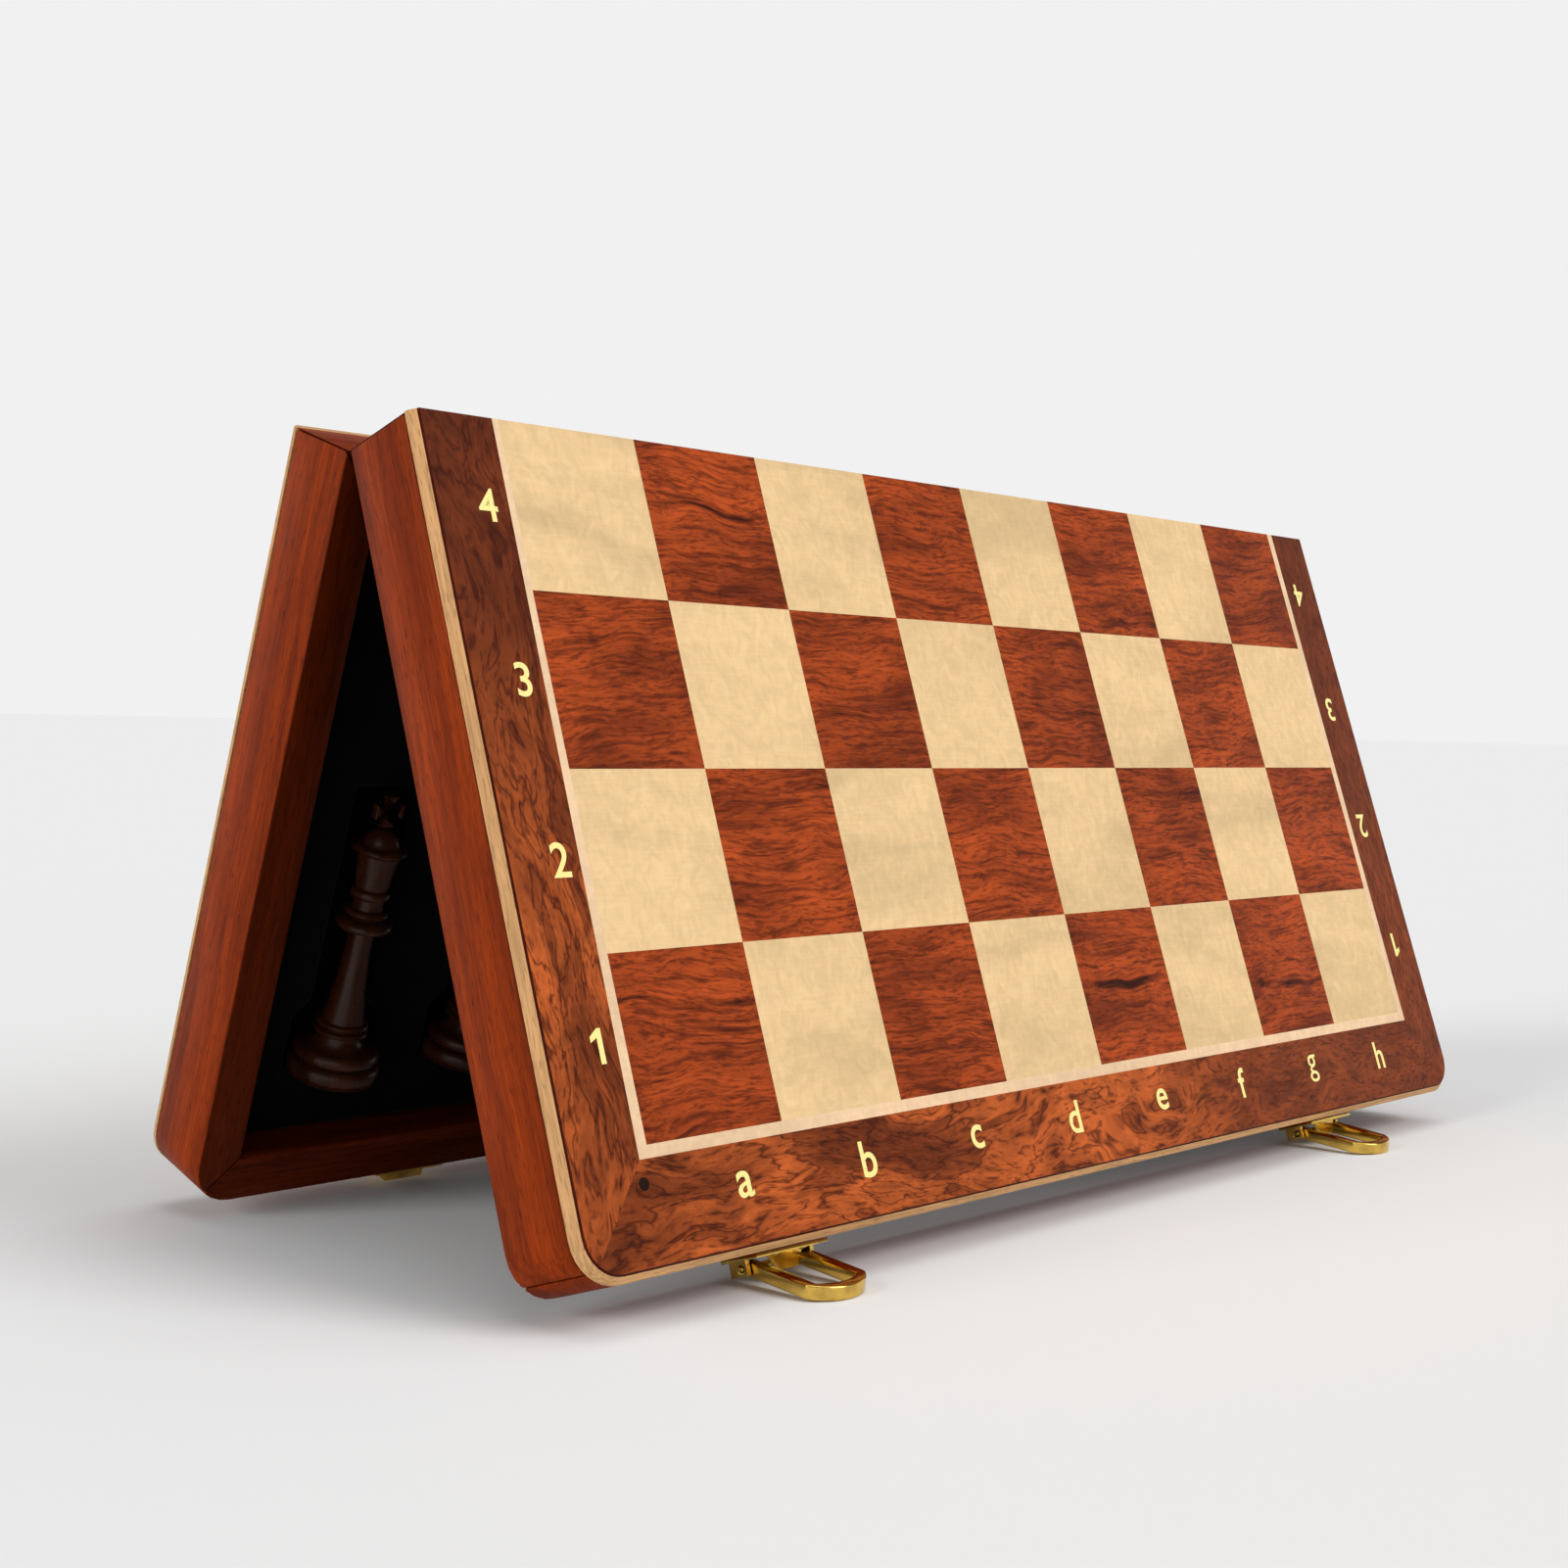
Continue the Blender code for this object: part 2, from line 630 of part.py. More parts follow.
def lying_men(heads_to_hinge):
    """(kind, x, y of its base, which way along y its head points) of each man in a tray."""
    latch_row = (LATCH_ROW, LATCH_ROW_PITCH, LATCH_ROW_END, "king")
    hinge_row = (HINGE_ROW, HINGE_ROW_PITCH, HINGE_ROW_END, "pawn")
    for row, pitch, end, tallest in (latch_row, hinge_row):
        far = HINGE_FACE + end
        base = far if heads_to_hinge else far - HEIGHTS[tallest]
        for n, kind in enumerate(row):
            yield kind, ((len(row) - 1) / 2 - n) * pitch, base, -1 if heads_to_hinge else 1


def add_men(shade, tray, heads_to_hinge, meshes):
    seen = {}
    everyone = LATCH_ROW + HINGE_ROW
    for kind, x, y, way in lying_men(heads_to_hinge):
        seen[kind] = seen.get(kind, 0) + 1
        name = f"{shade}_{kind}" + (f"_{seen[kind]}" if everyone.count(kind) > 1 else "")
        man = add_part(name, meshes[kind].copy(), f"{shade}_wood", tray)
        man.location = (x, y, POCKET_FLOOR + LYING_CLEARANCE + BASES[kind] / 2)
        man.rotation_euler.x = -way * math.pi / 2


def pocket_outline(kind, x, base, way):
    """Follows a lying man: wide round its foot, then narrower to its head."""
    room = POCKET_CLEARANCE
    wide = BASES[kind] / 2 + room
    narrow = widest_above_foot(kind) + room
    foot_end = BASES[kind] * 0.6 + room
    far = HEIGHTS[kind] + room
    half = [(wide, -room), (wide, foot_end), (narrow, foot_end + wide - narrow), (narrow, far)]
    outline = half + mirrored(reversed(half))
    return [(x + across, base + way * along) for across, along in outline]


def add_insert(side, tray, heads_to_hinge):
    room = INSERT_CLEARANCE
    half = HALF_LENGTH - WALL - room
    low = (-half, HINGE_FACE + WALL + room, INSERT_LOW)
    high = (half, LATCH_FACE - WALL - room, INSERT_TOP)
    insert = add_part(f"{side}_insert", box_mesh("insert", low, high), "flock", tray)
    for n, (kind, x, base, way) in enumerate(lying_men(heads_to_hinge)):
        outline = pocket_outline(kind, x, base, way)
        mesh = plate_mesh("pocket", outline, POCKET_FLOOR, INSERT_TOP + INSERT_DEPTH)
        change(insert, "DIFFERENCE", add_cutter(f"{side}_pocket_{n}", mesh, tray))


def add_tray(side, turn):
    location = (0, AXIS_Y, AXIS_HEIGHT)
    return add_empty(f"{side}_tray", None, location, (-math.pi / 2 - LEAN, 0, turn))


def main():
    front = add_tray("front", 0)
    back = add_tray("back", math.pi)
    add_rails("front", front, "left", "right")
    add_rails("back", back, "right", "left")
    meshes = {kind: man_mesh(kind) for kind in HEIGHTS}
    for side, tray, shade, heads_to_hinge in (("front", front, "light", False), ("back", back, "dark", True)):
        add_board_panel(side, tray)
        add_insert(side, tray, heads_to_hinge)
        add_men(shade, tray, heads_to_hinge, meshes)
    add_hinges(front, back)
    add_latches(front, back)


clear_scene()
parts = new_collection(COLLECTION)
cutters = new_collection("cutters")
main()
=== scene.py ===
"""A folding chess set with board, standing open like a tent: veneered board halves with gold
coordinates, mitred mahogany rails, flocked inserts full of turned chessmen, and brass hinges and latches.

A tray's own space has x along the hinge, y away from it and z out of the tray, with the fold axis at
y = 0 and z = 0. A chessman's own space has z up the man, and a latch loop's has its pin along x and
its arms along y.
Sizes are in metres, and so are texture coordinates, so a scale of 100 repeats about every centimetre."""

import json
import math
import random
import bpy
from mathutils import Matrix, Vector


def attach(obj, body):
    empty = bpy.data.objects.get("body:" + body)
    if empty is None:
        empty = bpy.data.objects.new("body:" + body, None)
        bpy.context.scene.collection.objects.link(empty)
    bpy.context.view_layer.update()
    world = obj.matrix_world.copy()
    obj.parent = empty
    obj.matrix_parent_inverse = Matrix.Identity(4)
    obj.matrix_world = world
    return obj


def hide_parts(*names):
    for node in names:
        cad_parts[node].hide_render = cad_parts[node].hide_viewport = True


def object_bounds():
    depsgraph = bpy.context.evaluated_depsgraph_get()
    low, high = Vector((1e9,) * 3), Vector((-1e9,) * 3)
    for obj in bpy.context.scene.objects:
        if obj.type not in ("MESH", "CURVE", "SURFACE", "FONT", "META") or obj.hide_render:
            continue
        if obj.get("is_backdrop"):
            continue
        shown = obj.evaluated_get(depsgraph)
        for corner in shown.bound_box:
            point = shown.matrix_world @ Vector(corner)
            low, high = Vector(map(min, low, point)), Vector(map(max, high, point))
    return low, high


bl_info = {
    "name": "Folding Chess Set",
    "version": (1, 0, 0),
    "blender": (4, 5, 0),
    "location": "View3D > Sidebar > Chess Set",
    "description": "Builds the finished surfaces of a folding chess set round its solid parts",
    "category": "Object",
}

import bmesh
import bpy
from bpy.props import FloatProperty, FloatVectorProperty, IntProperty, PointerProperty
from mathutils import Matrix, Vector

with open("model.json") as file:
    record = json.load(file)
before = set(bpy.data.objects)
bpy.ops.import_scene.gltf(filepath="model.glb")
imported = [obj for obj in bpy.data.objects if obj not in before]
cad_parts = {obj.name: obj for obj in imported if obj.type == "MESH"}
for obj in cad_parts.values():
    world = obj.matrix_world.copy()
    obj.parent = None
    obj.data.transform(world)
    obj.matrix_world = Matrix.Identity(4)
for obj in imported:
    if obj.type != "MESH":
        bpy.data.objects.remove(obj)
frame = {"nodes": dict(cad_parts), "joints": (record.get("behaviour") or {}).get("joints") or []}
CAD_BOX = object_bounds()

MM = 0.001
SIDES = ("front", "back")
PLACES = ("left", "right")
TRAY_BODY = {"front": "front_tray", "back": "back_tray"}
MEN_SHADE = {"front": "light", "back": "dark"}
HEADS_TO_HINGE = {"front": False, "back": True}
KNOT = (-173 * MM, 177 * MM)  # a small dark knot in the front border, in its tray's space
FOLD = next(joint for joint in frame["joints"] if joint["name"] == "board_fold")
AXIS = Vector(FOLD["pos_m"])
LEAN = -math.radians(FOLD["range_deg"][0]) / 2


# Settings


def colour_setting(name, description, value):
    return FloatVectorProperty(
        name=name, description=description, subtype="COLOR", size=3, min=0, max=1, default=linear(*value)
    )


def length_setting(name, description, value):
    return FloatProperty(name=name, description=description, unit="LENGTH", default=value, precision=5)


def linear(red, green, blue):
    """Scene-linear values of a colour given from 0 to 255 as screens show it."""
    shares = [channel / 255 for channel in (red, green, blue)]
    return tuple(s / 12.92 if s <= 0.04045 else ((s + 0.055) / 1.055) ** 2.4 for s in shares)


class ChessBoardSettings(bpy.types.PropertyGroup):
    square: length_setting("Square", "Side of one square", 42.5 * MM)
    rank: length_setting("Rank", "Depth of one square, away from the hinge", 42.2 * MM)
    cut: length_setting("Cut", "What the cut at the hinge takes off the squares beside it", 0.5 * MM)
    stringing: length_setting("Stringing", "Width of the pale line round the squares", 2.9 * MM)
    taper: length_setting("Taper", "How much narrower that line is at one side of the hinge", 1.2 * MM)
    veneer: length_setting("Veneer", "Thickness of the veneer that shows at the chamfer", 0.45 * MM)
    letter: length_setting("Letters", "Type size of the letters", 12.2 * MM)
    number: length_setting("Numbers", "Type size of the numbers", 11.2 * MM)
    letter_pitch: length_setting("Letter pitch", "From one letter to the next", 41.9 * MM)
    letter_shift: length_setting("Letter shift", "How far the letters stand right of their files", 3.3 * MM)
    letter_line: length_setting("Letter line", "From the hinge edge to the letters' middles", 180.6 * MM)
    number_pitch: length_setting("Number pitch", "From one number to the next", 41.4 * MM)
    number_shift: length_setting("Number shift", "How far the numbers stand towards the hinge", 1.1 * MM)
    number_left: length_setting("Left numbers", "From the squares to the numbers at the left", 8 * MM)
    number_right: length_setting("Right numbers", "From the squares to the numbers at the right", 10.4 * MM)
    ink: length_setting("Foil", "Thickness of the coordinates' gold foil", 0.04 * MM)
    light_square: colour_setting("Light squares", "Maple veneer", (224, 191, 142))
    dark_square: colour_setting("Dark squares", "Bubinga veneer", (160, 66, 24))
    dark_grain: colour_setting("Dark squares' grain", "Bubinga veneer in its lines and pores", (66, 20, 5))
    border: colour_setting("Border", "Rosewood veneer at its lightest", (182, 88, 38))
    border_flame: colour_setting("Border figure", "Rosewood veneer at its darkest", (60, 17, 5))
    line: colour_setting("Stringing colour", "Pale maple line", (230, 196, 158))
    core: colour_setting("Core", "Pale wood under the veneer", (214, 164, 112))
    foil: colour_setting("Coordinates", "Gold foil", (244, 229, 140))


class ChessTraySettings(bpy.types.PropertyGroup):
    edge: length_setting("Rounding", "Rounding of the rails' edges", 0.6 * MM)
    corner: length_setting("Corners", "Radius of a tray's corners at the latch side", 11 * MM)
    rail: colour_setting("Rails", "Mahogany stain at its lightest", (158, 58, 6))
    rail_dark: colour_setting("Rail grain", "Mahogany stain in the grain", (92, 29, 4))
    # Painted shade: how light the stain's darker copy is on a tray's rims and inner sides, which lie in shade
    # inside the tent.
    inside: FloatProperty(name="Inside", description="How light the stain is inside a tray", default=0.42)
    # Painted shade in part: black flock, darkened below its own colour for the deep shade inside the tent.
    flock: colour_setting("Flock", "Insert", (5, 4, 4))


class ChessMetalSettings(bpy.types.PropertyGroup):
    brass: colour_setting("Brass", "Polished brass", (226, 188, 92))
    edge: length_setting("Edge", "Rounding of the brass parts' edges", 0.22 * MM)
    screw: length_setting("Screw head", "Radius of a screw head", 1.25 * MM)
    sheet: length_setting("Sheet", "Thickness of the latches' sheet brass", 1 * MM)
    loop_band: length_setting("Loop band", "Width of a latch loop's metal", 3.2 * MM)
    loop_bow: length_setting("Loop bow", "How far a latch loop's end bows out", 5.2 * MM)


class ChessMenSettings(bpy.types.PropertyGroup):
    light_wood: colour_setting("Light men", "Boxwood", (224, 180, 114))
    light_grain: colour_setting("Light grain", "Boxwood in the grain", (186, 134, 72))
    # Painted shade in part: the dark men's stained wood and its grain, darkened below their own colour for
    # the deep shade inside the tent.
    dark_wood: colour_setting("Dark men", "Stained wood", (78, 38, 19))
    dark_grain: colour_setting("Dark grain", "Stained wood in the grain", (34, 14, 7))
    felt: colour_setting("Felt", "Felt under the men", (30, 62, 38))
    sides: IntProperty(name="Sides", description="Sides of a turned man", default=48, min=12)


class ChessStageSettings(bpy.types.PropertyGroup):
    camera: FloatVectorProperty(
        name="Camera",
        description="Place of the camera",
        subtype="TRANSLATION",
        size=3,
        default=(-0.4852, -0.4035, 0.1284),
    )
    shift: FloatVectorProperty(
        name="Shift", description="Sideways and upward shift of the lens", size=2, default=(0.0152, 0.0121)
    )
    azimuth: FloatProperty(name="Azimuth", description="Way the camera looks", default=-46.4)
    elevation: FloatProperty(name="Elevation", description="Height of the camera over its aim", default=2.1)
    roll: FloatProperty(name="Roll", description="Tilt of the camera", default=1.13)
    lens: FloatProperty(name="Lens", description="Focal length in millimetres", default=49.2)
    floor: colour_setting("Floor", "Plain floor", (230, 230, 230))
    front: FloatProperty(name="Front light", description="Brightness", default=0.46)
    left: FloatProperty(name="Left light", description="Brightness", default=0.42)
    top: FloatProperty(name="Top light", description="Brightness", default=0.28)
    horizon: FloatProperty(name="Horizon", description="Brightness round the horizon", default=0.88)
    overhead: FloatProperty(name="Overhead", description="Brightness overhead", default=0.2)


def settings(group):
    return getattr(bpy.context.scene, "chess_" + group)


# Shared making


def tray_matrix(side):
    """From a tray's own space to the world."""
    turn = Matrix.Rotation(math.pi if side == "back" else 0, 4, "Z")
    return Matrix.Translation(AXIS) @ turn @ Matrix.Rotation(-math.pi / 2 - LEAN, 4, "X")


def span(node, matrix):
    """Lowest and highest corner of a solid part, in the space of this matrix."""
    inverse = matrix.inverted()
    points = [inverse @ vertex.co for vertex in frame["nodes"][node].data.vertices]
    return Vector(map(min, zip(*points))), Vector(map(max, zip(*points)))


def new_object(name, data, matrix):
    made = bpy.data.objects.new(name, data)
    bpy.context.scene.collection.objects.link(made)
    made.matrix_world = matrix
    return made


def to_mesh(shape, name, finishes=(), smooth_angle=None):
    """A mesh from a bmesh, with materials by index, smooth but for edges sharper than an angle in degrees."""
    mesh = bpy.data.meshes.new(name)
    shape.to_mesh(mesh)
    shape.free()
    for finish in finishes:
        mesh.materials.append(finish)
    if smooth_angle:
        mesh.shade_smooth()
        mesh.set_sharp_from_angle(angle=math.radians(smooth_angle))
    return mesh


def fix(piece, body, slot, *nodes):
    """Says what a finished piece rides on and which solids it stands for; the slot, what it would take its
    finish from, is not used.
    """
    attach(piece, body)
    if nodes:
        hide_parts(*nodes)


def evaluated(made, name):
    """The object's mesh with its modifiers applied; the object itself goes."""
    bpy.context.view_layer.update()
    mesh = bpy.data.meshes.new_from_object(made.evaluated_get(bpy.context.evaluated_depsgraph_get()))
    mesh.name = name
    bpy.data.objects.remove(made)
    return mesh


def add_bevel(made, width, segments=2, angle=30):
    bevel = made.modifiers.new("Rounded edges", "BEVEL")
    bevel.width = width
    bevel.segments = segments
    bevel.limit_method = "ANGLE"
    bevel.angle_limit = math.radians(angle)


def softened(node, matrix, width, segments=2, angle=30):
    """A mesh of a solid part in the space of this matrix, with its edges rounded."""
    flat = math.radians(1)
    shape = bmesh.new()
    shape.from_mesh(frame["nodes"][node].data)
    bmesh.ops.transform(shape, matrix=matrix.inverted(), verts=shape.verts)
    bmesh.ops.remove_doubles(shape, verts=shape.verts, dist=0.002 * MM)
    bmesh.ops.dissolve_limit(shape, angle_limit=flat, verts=shape.verts, edges=shape.edges)
    made = new_object(node + "_soft", to_mesh(shape, node), Matrix())
    add_bevel(made, width, segments, angle)
    mesh = evaluated(made, node + "_finished")
    mesh.shade_smooth()
    mesh.set_sharp_from_angle(angle=math.radians(38))
    return mesh


def prism(outline, low, high):
    """A bmesh of a flat outline in x and y between two heights."""
    shape = bmesh.new()
    floor = shape.faces.new([shape.verts.new((x, y, low)) for x, y in outline])
    risen = bmesh.ops.extrude_face_region(shape, geom=[floor])["geom"]
    lifted = [part for part in risen if isinstance(part, bmesh.types.BMVert)]
    bmesh.ops.translate(shape, vec=(0, 0, high - low), verts=lifted)
    bmesh.ops.recalc_face_normals(shape, faces=shape.faces)
    return shape


def arc(centre, radius, start, end, steps):
    """Points of an arc, with its angles in degrees."""
    angles = [math.radians(start + (end - start) * n / steps) for n in range(steps + 1)]
    return [(centre[0] + radius * math.cos(a), centre[1] + radius * math.sin(a)) for a in angles]


def mirrored(points):
    return [(-x, y) for x, y in points]


# Materials


class Finish:
    """A material's node tree, with a short way to add and join nodes."""

    def __init__(self, name):
        self.material = bpy.data.materials.new(name)
        self.material.use_nodes = True
        self.tree = self.material.node_tree
        self.shader = self.tree.nodes["Principled BSDF"]
        self.place = self.add("ShaderNodeTexCoord").outputs["Object"]

    def add(self, kind, **inputs):
        node = self.tree.nodes.new(kind)
        for key, value in inputs.items():
            self.put(node.inputs[key.replace("_", " ")], value)
        return node

    def put(self, socket, value):
        """Sets an input to a value, or joins it to an output."""
        if isinstance(value, bpy.types.NodeSocket):
            self.tree.links.new(value, socket)
        else:
            socket.default_value = value

    def set(self, **inputs):
        for key, value in inputs.items():
            self.put(self.shader.inputs[key.replace("_", " ")], value)

    def stretch(self, vector, scale):
        return self.add("ShaderNodeMapping", Vector=vector, Scale=scale).outputs[0]

    def noise(self, vector, scale=1.0, detail=3.0, roughness=0.55, distortion=0.0):
        more = {"Roughness": roughness, "Distortion": distortion}
        made = self.add("ShaderNodeTexNoise", Vector=vector, Scale=scale, Detail=detail, **more)
        return made.outputs

    def ramp(self, value, *stops):
        """A colour ramp; each stop is (place, linear colour)."""
        made = self.add("ShaderNodeValToRGB", Fac=value)
        band = made.color_ramp.elements
        while len(band) < len(stops):
            band.new(0.5)
        for stop, (place, colour) in zip(band, stops):
            stop.position = place
            stop.color = (*colour, 1)
        return made.outputs["Color"]

    def grey(self, value, low, high, dark=0.0, light=1.0):
        return self.ramp(value, (low, (dark,) * 3), (high, (light,) * 3))

    def mix(self, factor, first, second, blend="MIX"):
        made = self.tree.nodes.new("ShaderNodeMix")
        made.data_type = "RGBA"
        made.blend_type = blend
        colours = [socket for socket in made.inputs if socket.type == "RGBA"]
        self.put(made.inputs["Factor"], factor)
        self.put(colours[0], first)
        self.put(colours[1], second)
        return next(socket for socket in made.outputs if socket.type == "RGBA")

    def math(self, operation, first, second=0.0):
        made = self.tree.nodes.new("ShaderNodeMath")
        made.operation = operation
        self.put(made.inputs[0], first)
        self.put(made.inputs[1], second)
        return made.outputs[0]

    def vector_add(self, first, second):
        made = self.tree.nodes.new("ShaderNodeVectorMath")
        made.operation = "ADD"
        self.put(made.inputs[0], first)
        self.put(made.inputs[1], second)
        return made.outputs[0]

    def vector_scale(self, vector, scale):
        made = self.tree.nodes.new("ShaderNodeVectorMath")
        made.operation = "SCALE"
        self.put(made.inputs[0], vector)
        made.inputs["Scale"].default_value = scale
        return made.outputs[0]

    def bump(self, height, strength, distance):
        made = self.add("ShaderNodeBump", Height=height, Strength=strength, Distance=distance)
        self.put(self.shader.inputs["Normal"], made.outputs[0])


def shade(colour, factor):
    return tuple(min(1, channel * factor) for channel in colour)


def opaque(colour):
    return (*colour, 1)


def along(grain, fine, across):
    """A texture scale with a small number along the grain and a large one across it."""
    return tuple(fine if axis == grain else across for axis in "xyz")


def tile_place(finish, tiles):
    """Object coordinates, moved by a different amount for each veneer tile."""
    if not tiles:
        return finish.place
    shift = finish.tree.nodes.new("ShaderNodeAttribute")
    shift.attribute_name = "tile_shift"
    return finish.vector_add(finish.place, shift.outputs["Vector"])


def satin(finish, base, roughness, relief, depth=0.05 * MM, gloss=0.05):
    """Gives a wood its colour, its thin satin lacquer and the fine relief of its fibres."""
    worn = finish.noise(finish.place, scale=60, detail=3)["Fac"]
    finish.set(Base_Color=base, Coat_Weight=0.01, Coat_Roughness=0.25, Specular_IOR_Level=gloss)
    finish.set(Roughness=finish.grey(worn, 0.3, 0.7, roughness - 0.05, roughness + 0.07))
    finish.bump(relief, 0.12, depth)


def wood(name, light, dark, grain="x", figure=0.5, band=110, roughness=0.44, gloss=0.05):
    """Satin wood: broad bands of figure, fine fibres and short dark pores, all along the grain."""
    finish = Finish(name)
    place = finish.place
    warp = finish.noise(finish.stretch(place, along(grain, 8, 22)), detail=2)["Color"]
    bent = finish.vector_add(place, finish.vector_scale(warp, 0.012))
    bands = finish.noise(finish.stretch(bent, along(grain, 7, band)), detail=5, roughness=0.62)["Fac"]
    fibres = finish.noise(finish.stretch(place, along(grain, 60, 1400)), detail=2)["Fac"]
    pores = finish.noise(finish.stretch(place, along(grain, 240, 2600)), detail=1)["Fac"]
    middle = tuple((a + b) / 2 for a, b in zip(light, dark))
    spread = 0.16 + 0.14 * (1 - figure)
    base = finish.ramp(bands, (0.5 - spread, dark), (0.5, middle), (0.5 + spread, light))
    base = finish.mix(0.8, base, finish.grey(fibres, 0.3, 0.7, 0.7, 1.2), "MULTIPLY")
    pore_mask = finish.grey(pores, 0.58, 0.68)
    base = finish.mix(finish.math("MULTIPLY", pore_mask, 0.5), base, opaque(shade(dark, 0.4)))
    relief = finish.math("SUBTRACT", fibres, finish.math("MULTIPLY", pore_mask, 0.6))
    satin(finish, base, roughness, relief, gloss=gloss)
    return finish.material


def maple(name, light, dark, tiles=True):
    """Pale even veneer: soft clouds, and faint ripples across the grain."""
    finish = Finish(name)
    place = tile_place(finish, tiles)
    clouds = finish.noise(finish.stretch(place, (14, 45, 45)), detail=4, distortion=0.5)["Fac"]
    ripples = finish.noise(finish.stretch(place, (260, 170, 170)), detail=4, distortion=1.2)["Fac"]
    fibres = finish.noise(finish.stretch(place, (130, 1500, 1500)), detail=2)["Fac"]
    base = finish.ramp(clouds, (0.36, dark), (0.5, light), (0.66, shade(light, 1.06)))
    base = finish.mix(0.9, base, finish.grey(ripples, 0.3, 0.7, 0.9, 1.08), "MULTIPLY")
    base = finish.mix(0.5, base, finish.grey(fibres, 0.3, 0.7, 0.93, 1.05), "MULTIPLY")
    satin(finish, base, 0.42, fibres, 0.02 * MM)
    return finish.material


def bubinga(name, light, dark):
    """Red-brown veneer with wavy dark lines of figure and a dense scatter of short dark pores."""
    finish = Finish(name)
    place = tile_place(finish, True)
    warp = finish.noise(finish.stretch(place, (22, 30, 30)), detail=2)["Color"]
    bent = finish.vector_add(place, finish.vector_scale(warp, 0.014))
    glow = finish.noise(finish.stretch(bent, (22, 70, 70)), detail=5, roughness=0.65)["Fac"]
    lines = finish.noise(finish.stretch(bent, (9, 170, 170)), detail=5, roughness=0.6)["Fac"]
    streaks = finish.noise(finish.stretch(bent, (46, 760, 760)), detail=3, roughness=0.6)["Fac"]
    flecks = finish.noise(finish.stretch(bent, (260, 1300, 1300)), detail=2)["Fac"]
    middle = tuple(0.5 * a + 0.5 * b for a, b in zip(light, dark))
    base = finish.ramp(glow, (0.36, middle), (0.5, light), (0.66, shade(light, 1.35)))
    base = finish.mix(finish.grey(streaks, 0.47, 0.66, 0, 0.7), base, opaque(dark))
    base = finish.mix(finish.grey(lines, 0.57, 0.67, 0, 0.8), base, opaque(dark))
    rings = finish.math("PINGPONG", lines, 0.05)
    base = finish.mix(finish.grey(rings, 0.0, 0.007, 0.55, 0), base, opaque(dark))
    base = finish.mix(finish.grey(lines, 0.65, 0.7, 0, 0.85), base, opaque(shade(dark, 0.35)))
    base = finish.mix(finish.grey(flecks, 0.5, 0.66, 0, 0.55), base, opaque(dark))
    satin(finish, base, 0.42, flecks)
    return finish.material


def rosewood(name, light, dark, grain):
    """Border veneer with swirling dark flames and mottled orange light between them."""
    finish = Finish(name)
    place = finish.place
    warp = finish.noise(finish.stretch(place, along(grain, 10, 20)), detail=3)["Color"]
    bent = finish.vector_add(place, finish.vector_scale(warp, 0.045))
    swirl = finish.noise(finish.stretch(bent, along(grain, 7, 34)), detail=5, roughness=0.6)["Fac"]
    broad = finish.noise(finish.stretch(place, along(grain, 8, 14)), detail=2)["Fac"]
    mottle = finish.noise(finish.stretch(bent, along(grain, 90, 220)), detail=5, roughness=0.7)["Fac"]
    flecks = finish.noise(finish.stretch(bent, along(grain, 210, 1000)), detail=2)["Fac"]
    middle = tuple(0.5 * a + 0.5 * b for a, b in zip(light, dark))
    deep = tuple(0.25 * a + 0.75 * b for a, b in zip(light, dark))
    base = finish.ramp(
        swirl, (0.34, deep), (0.42, middle), (0.48, light), (0.53, light), (0.57, middle), (0.62, deep)
    )
    base = finish.mix(finish.grey(broad, 0.48, 0.62, 0.0, 0.45), base, opaque(deep))
    rings = finish.math("PINGPONG", swirl, 0.035)
    base = finish.mix(finish.grey(rings, 0.0, 0.009, 0.8, 0), base, opaque(dark))
    across = finish.tree.nodes.new("ShaderNodeSeparateXYZ")
    finish.put(across.inputs[0], place)
    uneven = finish.math("MULTIPLY", mottle, 0.04)
    from_hinge = finish.math("SUBTRACT", across.outputs["Y"], uneven)
    base = finish.mix(finish.grey(from_hinge, 0.03, 0.1, 0.75, 0.0), base, opaque(dark))
    along_hinge = finish.math("SUBTRACT", across.outputs["X"], uneven)
    base = finish.mix(finish.grey(along_hinge, -0.05, 0.04, 0.0, 0.75), base, opaque(deep))
    base = finish.mix(0.9, base, finish.grey(mottle, 0.32, 0.68, 0.55, 1.35), "MULTIPLY")
    base = finish.mix(finish.grey(flecks, 0.52, 0.66, 0, 0.6), base, opaque(dark))
    satin(finish, base, 0.38, flecks)
    return finish.material


def brass(name, colour, roughness):
    """Polished brass with faint drawing lines and a little tarnish in patches."""
    finish = Finish(name)
    tarnish = finish.noise(finish.place, scale=220, detail=4)["Fac"]
    base = finish.ramp(tarnish, (0.35, shade(colour, 0.72)), (0.55, colour))
    lines = finish.noise(finish.stretch(finish.place, (60, 2500, 2500)), detail=2)["Fac"]
    finish.set(Base_Color=base, Metallic=1.0)
    finish.set(Roughness=finish.grey(tarnish, 0.3, 0.7, roughness + 0.1, roughness))
    finish.bump(lines, 0.05, 0.02 * MM)
    return finish.material


def flock(name, colour):
    """Short black fibres with a soft sheen and a slightly uneven nap."""
    finish = Finish(name)
    nap = finish.noise(finish.place, scale=90, detail=3)["Fac"]
    fibres = finish.noise(finish.place, scale=2600, detail=2)["Fac"]
    base = finish.ramp(nap, (0.35, shade(colour, 0.7)), (0.65, shade(colour, 1.5)))
    base = finish.mix(0.6, base, finish.grey(fibres, 0.3, 0.7, 0.5, 1.5), "MULTIPLY")
    finish.set(Base_Color=base, Roughness=0.96, Sheen_Weight=0.04, Sheen_Roughness=0.5)
    finish.set(Specular_IOR_Level=0.05)
    finish.bump(fibres, 0.6, 0.15 * MM)
    return finish.material


